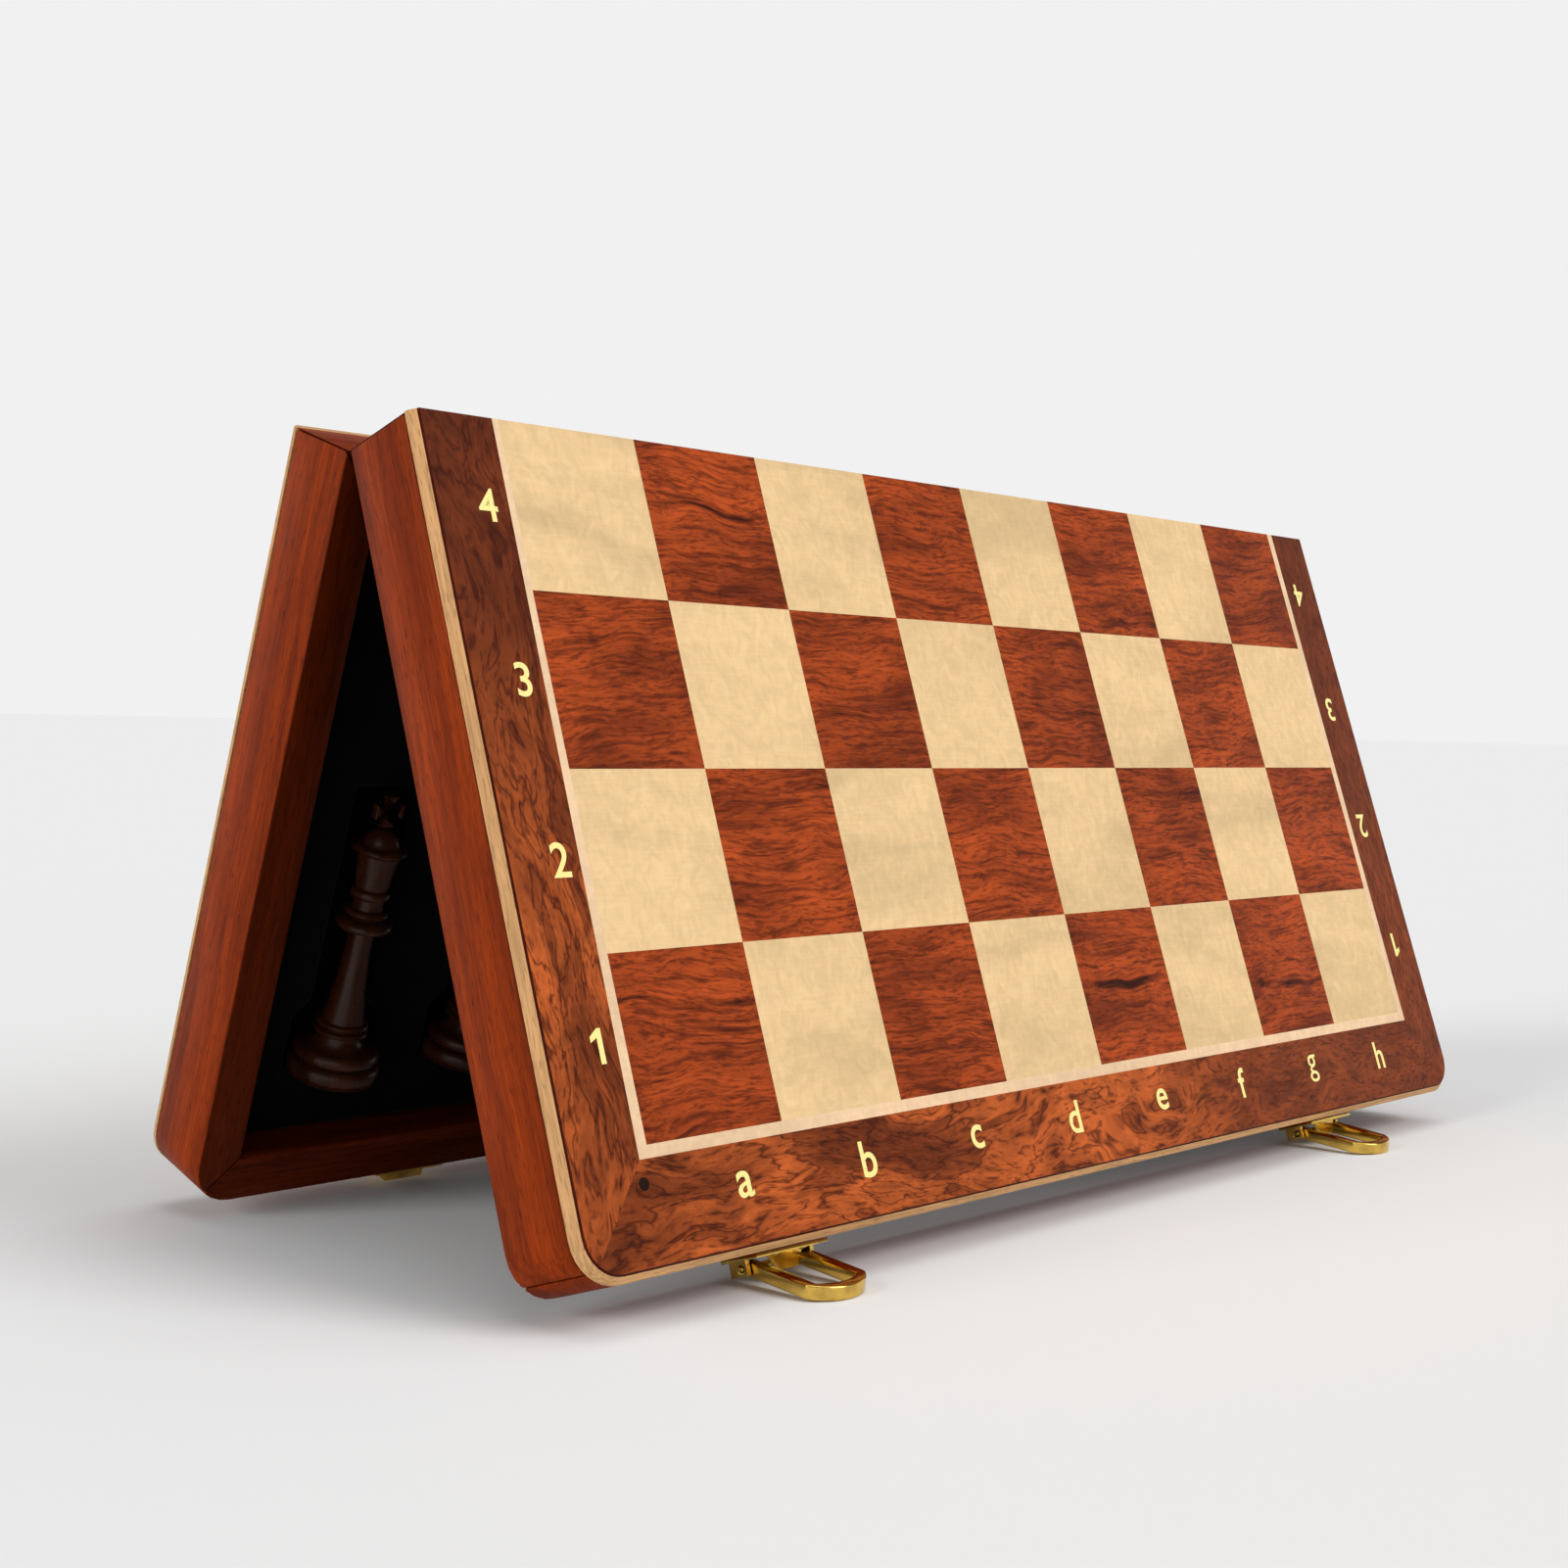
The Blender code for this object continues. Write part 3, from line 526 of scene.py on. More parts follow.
def foil(name, colour):
    """Hot-pressed gold foil, a little broken where the veneer's pores show through."""
    finish = Finish(name)
    grain = finish.noise(finish.stretch(finish.place, (700, 1600, 1600)), detail=3)["Fac"]
    finish.set(Base_Color=finish.ramp(grain, (0.28, shade(colour, 0.72)), (0.42, colour)))
    finish.set(Roughness=finish.grey(grain, 0.3, 0.7, 0.38, 0.28), Specular_IOR_Level=0.6)
    return finish.material


def once(name, make, *details, **more):
    """The material of this name, made the first time it is asked for."""
    return bpy.data.materials.get(name) or make(name, *details, **more)


def rail_wood(grain, inside=False):
    """Mahogany stain; the darker copy of it on a tray's rims and inner sides is painted shade."""
    tray = settings("tray")
    stain = (tray.rail[:], tray.rail_dark[:])
    if inside:
        stain = [shade(colour, tray.inside) for colour in stain]
    name = f"mahogany_inside_{grain}" if inside else f"mahogany_{grain}"
    return once(name, wood, *stain, grain=grain, figure=0.55, band=150)


def brass_finish():
    return once("polished_brass", brass, settings("metal").brass[:], 0.09)


# Board halves


def board_outline(half, near, far, radius, steps=8):
    """Round the three free edges, from the hinge side at +x to the hinge side at -x."""
    corner = arc((half - radius, far - radius), radius, 0, 90, steps)
    right = [(half, near)] + corner
    return right + mirrored(reversed(right))


def board_faces(shape, plane, half, near, far, radius, corner_steps):
    """The veneered face: squares, stringing on three sides, and three border pieces mitred at the corners."""
    board = settings("board")
    size, rank, line = board.square, board.rank, board.stringing
    grid = 4 * size
    ranks = [near] + [near + row * rank - board.cut for row in range(1, 5)]
    end = ranks[-1]
    materials = {"light": 0, "dark": 1, "line": 2, "side": 3, "end": 4}
    shift = shape.faces.layers.float_vector.new("tile_shift")
    draw = random.Random(64)

    def face(points, kind):
        made = shape.faces.new([shape.verts.new((x, y, plane)) for x, y in points])
        made.material_index = materials[kind]
        made[shift] = [draw.uniform(-3, 3) for _ in range(3)]

    for column in range(8):
        for row in range(4):
            x, y, top = -grid + column * size, ranks[row], ranks[row + 1]
            kind = "light" if (column + row) % 2 == 0 else "dark"
            face([(x, y), (x + size, y), (x + size, top), (x, top)], kind)
    reach = grid + line
    stop = end + line
    corner = arc((half - radius, far - radius), radius, 0, 90, corner_steps)
    split = corner_steps // 2
    for sign in (-1, 1):
        inner = reach - board.taper if sign < 0 else reach
        strip = [(inner, near), (reach, stop)] + [(grid, y) for y in reversed(ranks)]
        side = [(inner, near), (half, near)] + corner[: split + 1] + [(reach, stop)]
        face([(sign * x, y) for x, y in strip], "line")
        face([(sign * x, y) for x, y in side], "side")
    face([(reach, stop), (-reach, stop)] + [(-grid + column * size, end) for column in range(9)], "line")
    around = corner[split:]
    face([(-reach, stop), (reach, stop)] + around + mirrored(reversed(around)), "end")


def board_half_mesh(side):
    """One board half in its tray's space: the veneered face, the veneer's edge and the pale core below it."""
    board = settings("board")
    low, high = span(f"{side}_board_panel", tray_matrix(side))
    half, near, far = high.x, low.y, high.y
    chamfer = (high.z - low.z) * 2 / 3  # high and wide
    radius = settings("tray").corner
    steps = 8
    shape = bmesh.new()
    board_faces(shape, low.z, half - chamfer, near, far - chamfer, radius - chamfer, steps)
    veneer = board.veneer
    levels = [
        (low.z, chamfer, None),
        (low.z + veneer, chamfer - veneer, 5),
        (low.z + chamfer, 0, 6),
        (high.z, 0, 6),
    ]
    rings = []
    for height, inset, _ in levels:
        line = board_outline(half - inset, near, far - inset, radius - inset, steps)
        rings.append([shape.verts.new((x, y, height)) for x, y in line])
    for (_, _, index), ring, last in zip(levels[1:], rings[1:], rings):
        for n in range(len(ring) - 1):
            made = shape.faces.new([last[n], last[n + 1], ring[n + 1], ring[n]])
            step = ring[n + 1].co - ring[n].co
            made.material_index = 7 if index == 6 and abs(step.x) > abs(step.y) else index
    inner = shape.faces.new(rings[-1])
    inner.material_index = 7
    grid = 4 * board.square
    files = [(n - 4) * board.square for n in range(9)]
    across = [board.taper - grid - board.stringing] + files + [grid + board.stringing]
    edge = [ring[0] for ring in rings] + [ring[-1] for ring in reversed(rings)]
    hinge_side = shape.faces.new(edge + [shape.verts.new((x, near, low.z)) for x in across])
    hinge_side.material_index = 7
    bmesh.ops.remove_doubles(shape, verts=shape.verts, dist=0.005 * MM)
    bmesh.ops.recalc_face_normals(shape, faces=shape.faces)
    return to_mesh(shape, f"{side}_board_half", board_finishes())


def board_finishes():
    board = settings("board")
    light, dark = board.light_square[:], board.dark_square[:]
    border, flame = board.border[:], board.border_flame[:]
    core = board.core[:]
    return [
        once("maple_square", maple, light, shade(light, 0.86)),
        once("bubinga_square", bubinga, dark, board.dark_grain[:]),
        once("maple_line", maple, board.line[:], shade(board.line[:], 0.93), False),
        once("rosewood_side", rosewood, border, flame, "y"),
        once("rosewood_end", rosewood, border, flame, "x"),
        once("veneer_edge", wood, shade(flame, 1.6), shade(flame, 0.8), band=150),
        once("pale_core_side", wood, core, shade(core, 0.74), "y", figure=0.2, band=240, roughness=0.5),
        once("pale_core_end", wood, core, shade(core, 0.74), "x", figure=0.2, band=240, roughness=0.5),
    ]


class CHESS_OT_board_halves(bpy.types.Operator):
    """Makes the two veneered board halves"""

    bl_idname = "chess_set.board_halves"
    bl_label = "Board Halves"

    def execute(self, context):
        for side in SIDES:
            piece = new_object(f"{side}_board_half", board_half_mesh(side), tray_matrix(side))
            fix(piece, TRAY_BODY[side], "board_veneer", f"{side}_board_panel")
        low, _ = span("front_board_panel", tray_matrix("front"))
        dome = [(radius * MM, height * MM) for radius, height in ((0, 0.03), (1.2, 0.03), (1.5, 0), (0, 0))]
        knot_wood = once("knot", wood, (0.02, 0.006, 0.003), (0.01, 0.003, 0.002))
        knot = to_mesh(lathe(dome, 14), "knot", [knot_wood])
        spot = Matrix.Translation((*KNOT, low.z)) @ Matrix.Rotation(math.pi, 4, "X")
        fix(new_object("knot", knot, tray_matrix("front") @ spot), "front_tray", "board_veneer")
        return {"FINISHED"}


def letter_mesh(text, size):
    """A flat mesh of one character, with its face towards +z."""
    ink = settings("board").ink
    if text == "1":
        outline = [(0, 0), (0.13, 0), (0.13, 0.7), (0.03, 0.7), (-0.17, 0.55), (-0.17, 0.43), (0, 0.52)]
        return to_mesh(prism([(x * size, y * size) for x, y in outline], -ink, ink), "character")
    curve = bpy.data.curves.new("character", "FONT")
    curve.body = text
    curve.size = size
    curve.align_x = "CENTER"
    # A thicker g loses faces where its loops meet.
    curve.offset = 0 if text == "g" else size * 0.012
    curve.extrude = ink
    curve.resolution_u = 6
    return evaluated(new_object("character", curve, Matrix()), "character")


def coordinate_places(side):
    """(text, size, x, y, whether it stands towards the hinge) of every coordinate of a board half."""
    board = settings("board")
    low, _ = span(f"{side}_board_panel", tray_matrix(side))
    near, grid = low.y, 4 * board.square
    for n, letter in enumerate("abcdefgh" if side == "front" else "hgfedcba"):
        x = (n - 3.5) * board.letter_pitch + board.letter_shift
        yield letter, board.letter, x, near + board.letter_line, True
    for row in range(4):
        y = near + grid / 2 + (row - 1.5) * board.number_pitch - board.number_shift
        number = str(4 - row) if side == "front" else str(5 + row)
        yield number, board.number, -grid - board.number_left, y, True
        yield number, board.number, grid + board.number_right, y, False


class CHESS_OT_coordinates(bpy.types.Operator):
    """Presses the gold letters and numbers into the border"""

    bl_idname = "chess_set.coordinates"
    bl_label = "Coordinates"

    def execute(self, context):
        board = settings("board")
        finish = once("gold_foil", foil, board.foil[:])
        for side in SIDES:
            matrix = tray_matrix(side)
            face = span(f"{side}_board_panel", matrix)[0].z
            shape = bmesh.new()
            for text, size, x, y, upright in coordinate_places(side):
                mesh = letter_mesh(text, size)
                middle = (max(v.co.y for v in mesh.vertices) + min(v.co.y for v in mesh.vertices)) / 2
                # Seen from outside, +x is to the right on the board face and the hinge is up.
                turn = Matrix.Rotation(math.pi, 4, "X") if upright else Matrix.Rotation(math.pi, 4, "Y")
                place = Matrix.Translation((x, y, face)) @ turn @ Matrix.Translation((0, -middle, 0))
                mesh.transform(place)
                shape.from_mesh(mesh)
            piece = new_object(f"{side}_coordinates", to_mesh(shape, "coordinates", [finish]), matrix)
            fix(piece, TRAY_BODY[side], "board_veneer")
        return {"FINISHED"}


# Rails and inserts


class CHESS_OT_rails(bpy.types.Operator):
    """Rounds and stains the eight rails, and paints shade on their rims and inner sides"""

    bl_idname = "chess_set.rails"
    bl_label = "Rails"

    def execute(self, context):
        for side in SIDES:
            matrix = tray_matrix(side)
            near, far = span(f"{side}_insert", matrix)
            for rail, grain in (("hinge", "x"), ("latch", "x"), ("left", "y"), ("right", "y")):
                node = f"{side}_{rail}_rail"
                mesh = softened(node, matrix, settings("tray").edge)
                mesh.materials.clear()
                mesh.materials.append(rail_wood(grain))
                mesh.materials.append(rail_wood(grain, inside=True))
                low, high = span(node, matrix)
                axis = 0 if grain == "y" else 1
                middle = 0 if grain == "y" else (near.y + far.y) / 2
                inwards = 1 if (low + high)[axis] / 2 < middle else -1
                # Faces on the rims and inner sides take the darker copy: painted shade for the inside of the
                # tent.
                for face in mesh.polygons:
                    rim = face.normal.z > 0.5 or face.normal[axis] * inwards > 0.5
                    face.material_index = 1 if rim else 0
                fix(new_object(node + "_finished", mesh, matrix), TRAY_BODY[side], "rails", node)
        return {"FINISHED"}


class CHESS_OT_inserts(bpy.types.Operator):
    """Rounds the pockets of the two inserts and flocks them"""

    bl_idname = "chess_set.inserts"
    bl_label = "Inserts"

    def execute(self, context):
        finish = once("black_flock", flock, settings("tray").flock[:])
        for side in SIDES:
            matrix = tray_matrix(side)
            node = f"{side}_insert"
            mesh = softened(node, matrix, 1.1 * MM, segments=3)
            mesh.materials.clear()
            mesh.materials.append(finish)
            fix(new_object(node + "_flocked", mesh, matrix), TRAY_BODY[side], "insert_flock", node)
        return {"FINISHED"}


# Hinges and latches


def lathe(points, sides):
    """A turned shape as a bmesh, from its side as (radius, height), top to bottom, ending on the axis."""
    shape = bmesh.new()
    rings = []
    for radius, height in points:
        count = sides if radius > 0 else 1
        angles = [2 * math.pi * n / count for n in range(count)]
        rings.append([shape.verts.new((radius * math.cos(a), radius * math.sin(a), height)) for a in angles])
    for upper, lower in zip(rings, rings[1:]):
        for n in range(sides):
            after = (n + 1) % sides
            corners = [upper[n % len(upper)], lower[n % len(lower)]]
            corners += [lower[after % len(lower)], upper[after % len(upper)]]
            shape.faces.new(list(dict.fromkeys(corners)))
    bmesh.ops.recalc_face_normals(shape, faces=shape.faces)
    return shape


def add_boolean(made, other, operation="DIFFERENCE"):
    change = made.modifiers.new(operation.title(), "BOOLEAN")
    change.operation = operation
    change.object = other


def cut_mesh(shape, cutters, name):
    """A mesh of a bmesh with other bmeshes cut from it."""
    made = new_object(name, to_mesh(shape, name), Matrix())
    knives = [new_object(name + "_knife", to_mesh(cutter, name), Matrix()) for cutter in cutters]
    for knife in knives:
        add_boolean(made, knife)
    mesh = evaluated(made, name)
    for knife in knives:
        bpy.data.objects.remove(knife)
    return mesh


def block(low, high, turn=None):
    """A bmesh of a box between two corners, turned about the origin."""
    low, high = Vector(low), Vector(high)
    shape = bmesh.new()
    bmesh.ops.create_cube(shape, size=1)
    bmesh.ops.scale(shape, vec=high - low, verts=shape.verts)
    bmesh.ops.translate(shape, vec=(low + high) / 2, verts=shape.verts)
    if turn:
        bmesh.ops.transform(shape, matrix=turn, verts=shape.verts)
    return shape


def screw_mesh(radius, rise):
    """A slotted, slightly domed head, standing on z = 0."""
    dome = [(radius * math.sin(a), rise * math.cos(a)) for a in (math.radians(12 * n) for n in range(8))]
    dome[0] = (0, rise)
    shape = lathe(dome + [(radius, 0), (0, 0)], 28)
    slot = block((-radius * 1.2, -radius * 0.14, rise * 0.45), (radius * 1.2, radius * 0.14, rise * 2))
    mesh = cut_mesh(shape, [slot], "screw_head")
    mesh.materials.append(brass_finish())
    mesh.shade_smooth()
    mesh.set_sharp_from_angle(angle=math.radians(35))
    return mesh


def add_screw(name, mesh, body, place, turn):
    fix(new_object(name, mesh, place @ Matrix.Rotation(math.radians(turn), 4, "Z")), body, "brass_hardware")


def brass_copy(node, matrix, body, width):
    """Stands for a solid brass part, with rounded edges."""
    mesh = softened(node, matrix, width, angle=35)
    mesh.materials.clear()
    mesh.materials.append(brass_finish())
    fix(new_object(node + "_finished", mesh, matrix), body, "brass_hardware", node)


class CHESS_OT_hinges(bpy.types.Operator):
    """Finishes the two rim hinges and sinks their screws"""

    bl_idname = "chess_set.hinges"
    bl_label = "Hinges"

    def execute(self, context):
        metal = settings("metal")
        head = screw_mesh(metal.screw * 1.1, 0.2 * MM)
        for place in PLACES:
            for side in SIDES:
                matrix = tray_matrix(side)
                node = f"hinge_{place}_{side}_leaf"
                brass_copy(node, matrix, TRAY_BODY[side], metal.edge * 0.6)
                low, high = span(node, matrix)
                rim = span(f"{side}_hinge_rail", matrix)[1].z
                for n, share in enumerate((0.18, 0.82)):
                    x = low.x + share * (high.x - low.x)
                    spot = matrix @ Matrix.Translation((x, high.y * 0.62, rim))
                    add_screw(f"{node}_screw_{n + 1}", head, TRAY_BODY[side], spot, 40 + 70 * n)
            brass_copy(f"hinge_{place}_pin", tray_matrix("front"), "front_tray", metal.edge)
        return {"FINISHED"}


def loop_matrix(place):
    """A latch loop's space: its pin along x and its arms along y."""
    joint = next(joint for joint in frame["joints"] if joint["name"] == f"{place}_loop_swing")
    pin = Vector(joint["pos_m"])
    points = [vertex.co - pin for vertex in frame["nodes"][f"latch_{place}_loop"].data.vertices]
    reach = max(math.hypot(p.y, p.z) for p in points)
    tips = [p for p in points if math.hypot(p.y, p.z) > reach - 0.05 * MM]
    arm = Vector((0, sum(p.y for p in tips), sum(p.z for p in tips)))
    turn = math.atan2(arm.z, arm.y)
    return Matrix.Translation(pin) @ Matrix.Rotation(turn, 4, "X")


def bowed(half, arm, bow, steps):
    """From (half, 0) up a straight arm, round a bowed end and back down to (-half, 0)."""
    radius = (half * half + bow * bow) / (2 * bow)
    centre = arm + bow - radius
    start = math.degrees(math.atan2(arm - centre, half))
    return [(half, 0)] + arc((0, centre), radius, start, 180 - start, steps) + [(-half, 0)]


def loop_mesh(place):
    """A stamped loop: two flat arms, a bowed end with a crisp corner at each side, and an eye on each arm."""
    metal = settings("metal")
    _, high = span(f"latch_{place}_loop", loop_matrix(place))
    half, height = high.x, high.z
    band, bow = metal.loop_band, metal.loop_bow
    arm = high.y - bow
    outline = bowed(half, arm, bow, 24) + list(reversed(bowed(half - band, arm, bow - band, 24)))
    ring = new_object("ring", to_mesh(prism(outline, -height, height), "ring"), Matrix())
    add_bevel(ring, 0.45 * MM, 3, 25)
    mesh = evaluated(ring, "ring")
    shape = bmesh.new()
    shape.from_mesh(mesh)
    rim = [(height * 0.85, band), (height, band * 0.85), (height, band * 0.15), (height * 0.85, 0)]
    for sign in (-1, 1):
        made = to_mesh(lathe([(0, band)] + rim + [(0, 0)], 28), "eye")
        start = Matrix.Translation((sign * (half - band / 2) - band / 2, 0, 0))
        made.transform(start @ Matrix.Rotation(math.pi / 2, 4, "Y"))
        shape.from_mesh(made)
    return to_mesh(shape, "latch_loop", [brass_finish()], 35)


class CHESS_OT_latches(bpy.types.Operator):
    """Finishes the two loop latches and their catches"""

    bl_idname = "chess_set.latches"
    bl_label = "Latches"

    def execute(self, context):
        metal = settings("metal")
        head = screw_mesh(metal.screw * 0.75, 0.45 * MM)
        out = Matrix.Rotation(-math.pi / 2, 4, "X")
        for place in PLACES:
            matrix = tray_matrix("front")
            brass_copy(f"latch_{place}_plate", matrix, "front_tray", metal.edge)
            brass_copy(f"latch_{place}_pin", matrix, "front_tray", metal.edge)
            piece = new_object(f"latch_{place}_loop_finished", loop_mesh(place), loop_matrix(place))
            fix(piece, f"{place}_loop", "brass_hardware", f"latch_{place}_loop")
            low, high = span(f"latch_{place}_plate", matrix)
            middle = (low.x + high.x) / 2
            for n, x in enumerate((middle - 4.5 * MM, middle + 4.5 * MM)):
                spot = matrix @ Matrix.Translation((x, low.y + metal.sheet, low.z + 1.3 * MM)) @ out
                add_screw(f"latch_{place}_plate_screw_{n + 1}", head, "front_tray", spot, 25 + 50 * n)
            matrix = tray_matrix("back")
            brass_copy(f"latch_{place}_catch", matrix, "back_tray", metal.edge)
            low, high = span(f"latch_{place}_catch", matrix)
            for n, x in enumerate((low.x + 2.3 * MM, high.x - 2.3 * MM)):
                spot = matrix @ Matrix.Translation((x, low.y + metal.sheet, (low.z + high.z) / 2)) @ out
                add_screw(f"latch_{place}_catch_screw_{n + 1}", head, "back_tray", spot, 15 + 60 * n)
        return {"FINISHED"}


# Chessmen, with sizes in millimetres in their profiles


def bend(start, pull, end, steps=7):
    """A curve from start to end that leans towards a third point."""
    points = []
    for n in range(steps + 1):
        t = n / steps
        weights = ((1 - t) ** 2, 2 * t * (1 - t), t * t)
        points.append(tuple(sum(w * p[k] for w, p in zip(weights, (start, pull, end))) for k in (0, 1)))
    return points


def bead(out, inner, top, bottom, steps=8):
    """A half-round ring that bulges from an inner radius to an outer one."""
    middle, half = (top + bottom) / 2, (top - bottom) / 2
    angles = [math.pi * (0.5 - n / steps) for n in range(steps + 1)]
    return [(inner + (out - inner) * math.cos(a), middle + half * math.sin(a)) for a in angles]


def foot(base, stem, top):
    """Stem, small double collar, big ring and plinth, down to the felted bottom."""
    plinth = base / 2
    ring = plinth * 0.93
    ring_top = base * 0.36
    rise = top - ring_top
    low, high = ring_top + rise * 0.1, ring_top + rise * 0.22
    middle = (low + high) / 2
    return [
        *bend((stem * 0.58, top), (stem * 0.6, (top + high) / 2), (stem, high)),
        *bead(stem + 1.4, stem, high, middle + 0.2, 6),
        *bead(stem + 1.5, stem, middle - 0.2, low, 6),
        *bend((stem, low), (stem * 1.02, ring_top + 0.8), (ring * 0.68, ring_top), 5),
        *bead(ring, ring * 0.86, ring_top - 0.2, base * 0.2),
        *bead(plinth, plinth * 0.92, base * 0.185, base * 0.03, 6),
        (plinth * 0.97, 0.3),
        (plinth * 0.93, 0),
        (0, 0),
    ]


def collars(radius, low):
    """The big collar with the thinner ring above it, its lower edge at this height."""
    return [
        *bead(radius * 0.78, radius * 0.55, low + 6.3, low + 4.1, 6),
        *bead(radius, radius * 0.6, low + 3.6, low + 0.2),
        (radius * 0.5, low - 0.1),
    ]


def king_profile(top):
    crown = top - 9.5
    return [
        (0, crown + 0.6),
        *bend((1.6, crown + 0.4), (4, crown - 0.4), (5, crown - 3.6)),
        *bead(7.3, 5.6, crown - 4, crown - 6.2, 6),
        *bend((5.8, crown - 6.4), (5, crown - 10), (4.5, crown - 15.3), 9),
        *bead(5.3, 4.2, crown - 16, crown - 18.6, 6),
        (4, crown - 19.6),
        *collars(7.6, crown - 27.7),
    ]


def queen_profile(top):
    return [
        (0, top),
        *bead(2.2, 0.4, top - 0.1, top - 4, 8)[1:-1],
        (1.4, top - 4.1),
        *bend((3, top - 4.5), (5.1, top - 5), (6, top - 7.6), 5),
        (7, top - 7),
        *bend((7.1, top - 8), (5, top - 13), (4.3, top - 18.4), 9),
        *bead(5.2, 4.2, top - 18.8, top - 20.8, 6),
        (4, top - 21.8),
        *collars(7.4, top - 28.2),
    ]


def bishop_profile(top):
    return [
        (0, top),
        *bead(1.7, 0.3, top - 0.1, top - 3, 8)[1:-1],
        *bend((1.2, top - 3.2), (4.8, top - 6.4), (5.3, top - 11.4), 8),
        *bend((5.3, top - 11.4), (5.2, top - 15.4), (3.6, top - 17), 6),
        *collars(6.6, top - 23.8),
    ]


def rook_profile(top):
    return [
        (0, top - 2.4),
        (5, top - 2.4),
        (5.2, top),
        (7.4, top),
        (7.6, top - 0.4),
        *bend((7.5, top - 6.6), (7.3, top - 8.2), (5.4, top - 9.4), 5),
        (5.2, top - 10.8),
        *collars(7.3, top - 17.3),
    ]


def pawn_profile(top):
    radius = 6
    turns = [math.radians(90 - 11 * n) for n in range(14)]
    ball = [(radius * math.cos(a), top - radius + radius * math.sin(a)) for a in turns]
    ball[0] = (0, top)
    neck = [*bead(6.3, 3.6, top - 12, top - 14.2, 6), *bead(4.9, 3.4, top - 14.5, top - 16, 5)]
    return ball + neck + [(3.4, top - 17)]


STEMS = {  # how far below the top the stem starts, and its radius
    "king": (37.8, 5.8),
    "queen": (29, 5.6),
    "bishop": (24.4, 4.9),
    "rook": (18, 5.8),
    "pawn": (17.2, 4.6),
}


def in_metres(shape):
    bmesh.ops.scale(shape, vec=(MM, MM, MM), verts=shape.verts)
    return shape


def king_mesh(top, base):
    """A turned king with a flared cross on his crown."""
    shape = turned(king_profile(top), "king", top, base)
    middle, arm = top - 4.3, [(0.8, 0.8), (1.1, 3), (2, 4.2), (-2, 4.2), (-1.1, 3)]
    outline = []
    for quarter in range(4):
        sine, cosine = round(math.sin(-quarter * math.pi / 2)), round(math.cos(quarter * math.pi / 2))
        outline += [(x * cosine - y * sine, x * sine + y * cosine + middle) for x, y in arm]
    cross = prism(outline, -1.2, 1.2)
    bmesh.ops.rotate(cross, matrix=Matrix.Rotation(math.pi / 2, 3, "X"), verts=cross.verts)
    made = new_object("cross", to_mesh(in_metres(cross), "cross"), Matrix())
    add_bevel(made, 0.3 * MM, 2, 30)
    shape.from_mesh(evaluated(made, "cross"))
    return to_mesh(shape, "king")


def turned(head, kind, top, base):
    below, stem = STEMS[kind]
    return in_metres(lathe(head + foot(base, stem, top - below), settings("men").sides))


def queen_mesh(top, base):
    """A turned queen with scallops round her coronet."""
    shape = turned(queen_profile(top), "queen", top, base)
    for vertex in shape.verts:
        if vertex.co.z > (top - 7.3) * MM and vertex.co.xy.length > 6.5 * MM:
            vertex.co.z -= 0.5 * MM * (1 + math.cos(8 * math.atan2(vertex.co.y, vertex.co.x)))
    return to_mesh(shape, "queen")


def bishop_mesh(top, base):
    """A turned bishop with a slanting slit in his mitre."""
    lean = Matrix.Translation((0, 0, top - 8.4)) @ Matrix.Rotation(math.radians(-52), 4, "Y")
    slit = in_metres(block((0.6, -9, -0.45), (9, 9, 0.45), lean))
    return cut_mesh(turned(bishop_profile(top), "bishop", top, base), [slit], "bishop")


def rook_mesh(top, base):
    """A turned rook with six merlons."""
    turns = [Matrix.Rotation(math.pi * n / 3, 4, "Z") for n in range(3)]
    slots = [in_metres(block((-12, -1.2, top - 2), (12, 1.2, top + 2), turn)) for turn in turns]
    return cut_mesh(turned(rook_profile(top), "rook", top, base), slots, "rook")


def pawn_mesh(top, base):
    return to_mesh(turned(pawn_profile(top), "pawn", top, base), "pawn")


HORSE = (  # outline of a knight's head over his foot: forwards and up
    *((7, -2), (7.3, 2), (6.5, 6), (4.7, 10), (2.8, 13), (2, 15.2), (3.2, 16.8)),  # chest and throat
    *((6.4, 16.6), (8.6, 17.2), (9, 18.6), (8.2, 19.2), (9.5, 19.6), (10, 21.4), (9.4, 23.4)),  # jaw and lips
    *((7.6, 26.2), (6, 29), (5, 31.8), (3.9, 34.4), (3.4, 37.4), (1.7, 40.8)),  # nose, brow and ears
    *((0.1, 38), (-1.2, 36.6), (-3, 37.4), (-4, 35.2), (-6, 34.6), (-6.6, 31.6), (-8.4, 30.2)),  # mane
    *((-8.4, 26.8), (-9.6, 25), (-9, 21.6), (-10, 19.4), (-9.2, 15.8), (-9.8, 13), (-8.8, 9.6)),
    *((-8.8, 6), (-8, 2), (-7.8, -2)),
)


def ease(value, start, end):
    """0 at the start, 1 at the end, with a smooth rise between."""
    share = min(1, max(0, (value - start) / (end - start)))
    return share * share * (3 - 2 * share)


def knight_thickness(forward, up):
    """Half the thickness of a knight's carved head at one place, as a share of its greatest."""
    body = 1.0 - 0.16 * ease(up, 2, 12) + 0.14 * ease(up, 14, 24) - 0.42 * ease(up, 28, 38)
    muzzle = 1 - 0.42 * ease(forward, 2, 8) * ease(up, 14, 18)
    crest = 1 - 0.5 * ease(-forward, 3.5, 9.5)
    strands = 1 - 0.1 * ease(-forward, 2.5, 4.5) * (0.5 + 0.5 * math.sin(1.9 * up - 1.2 * forward))
    return body * muzzle * crest * strands


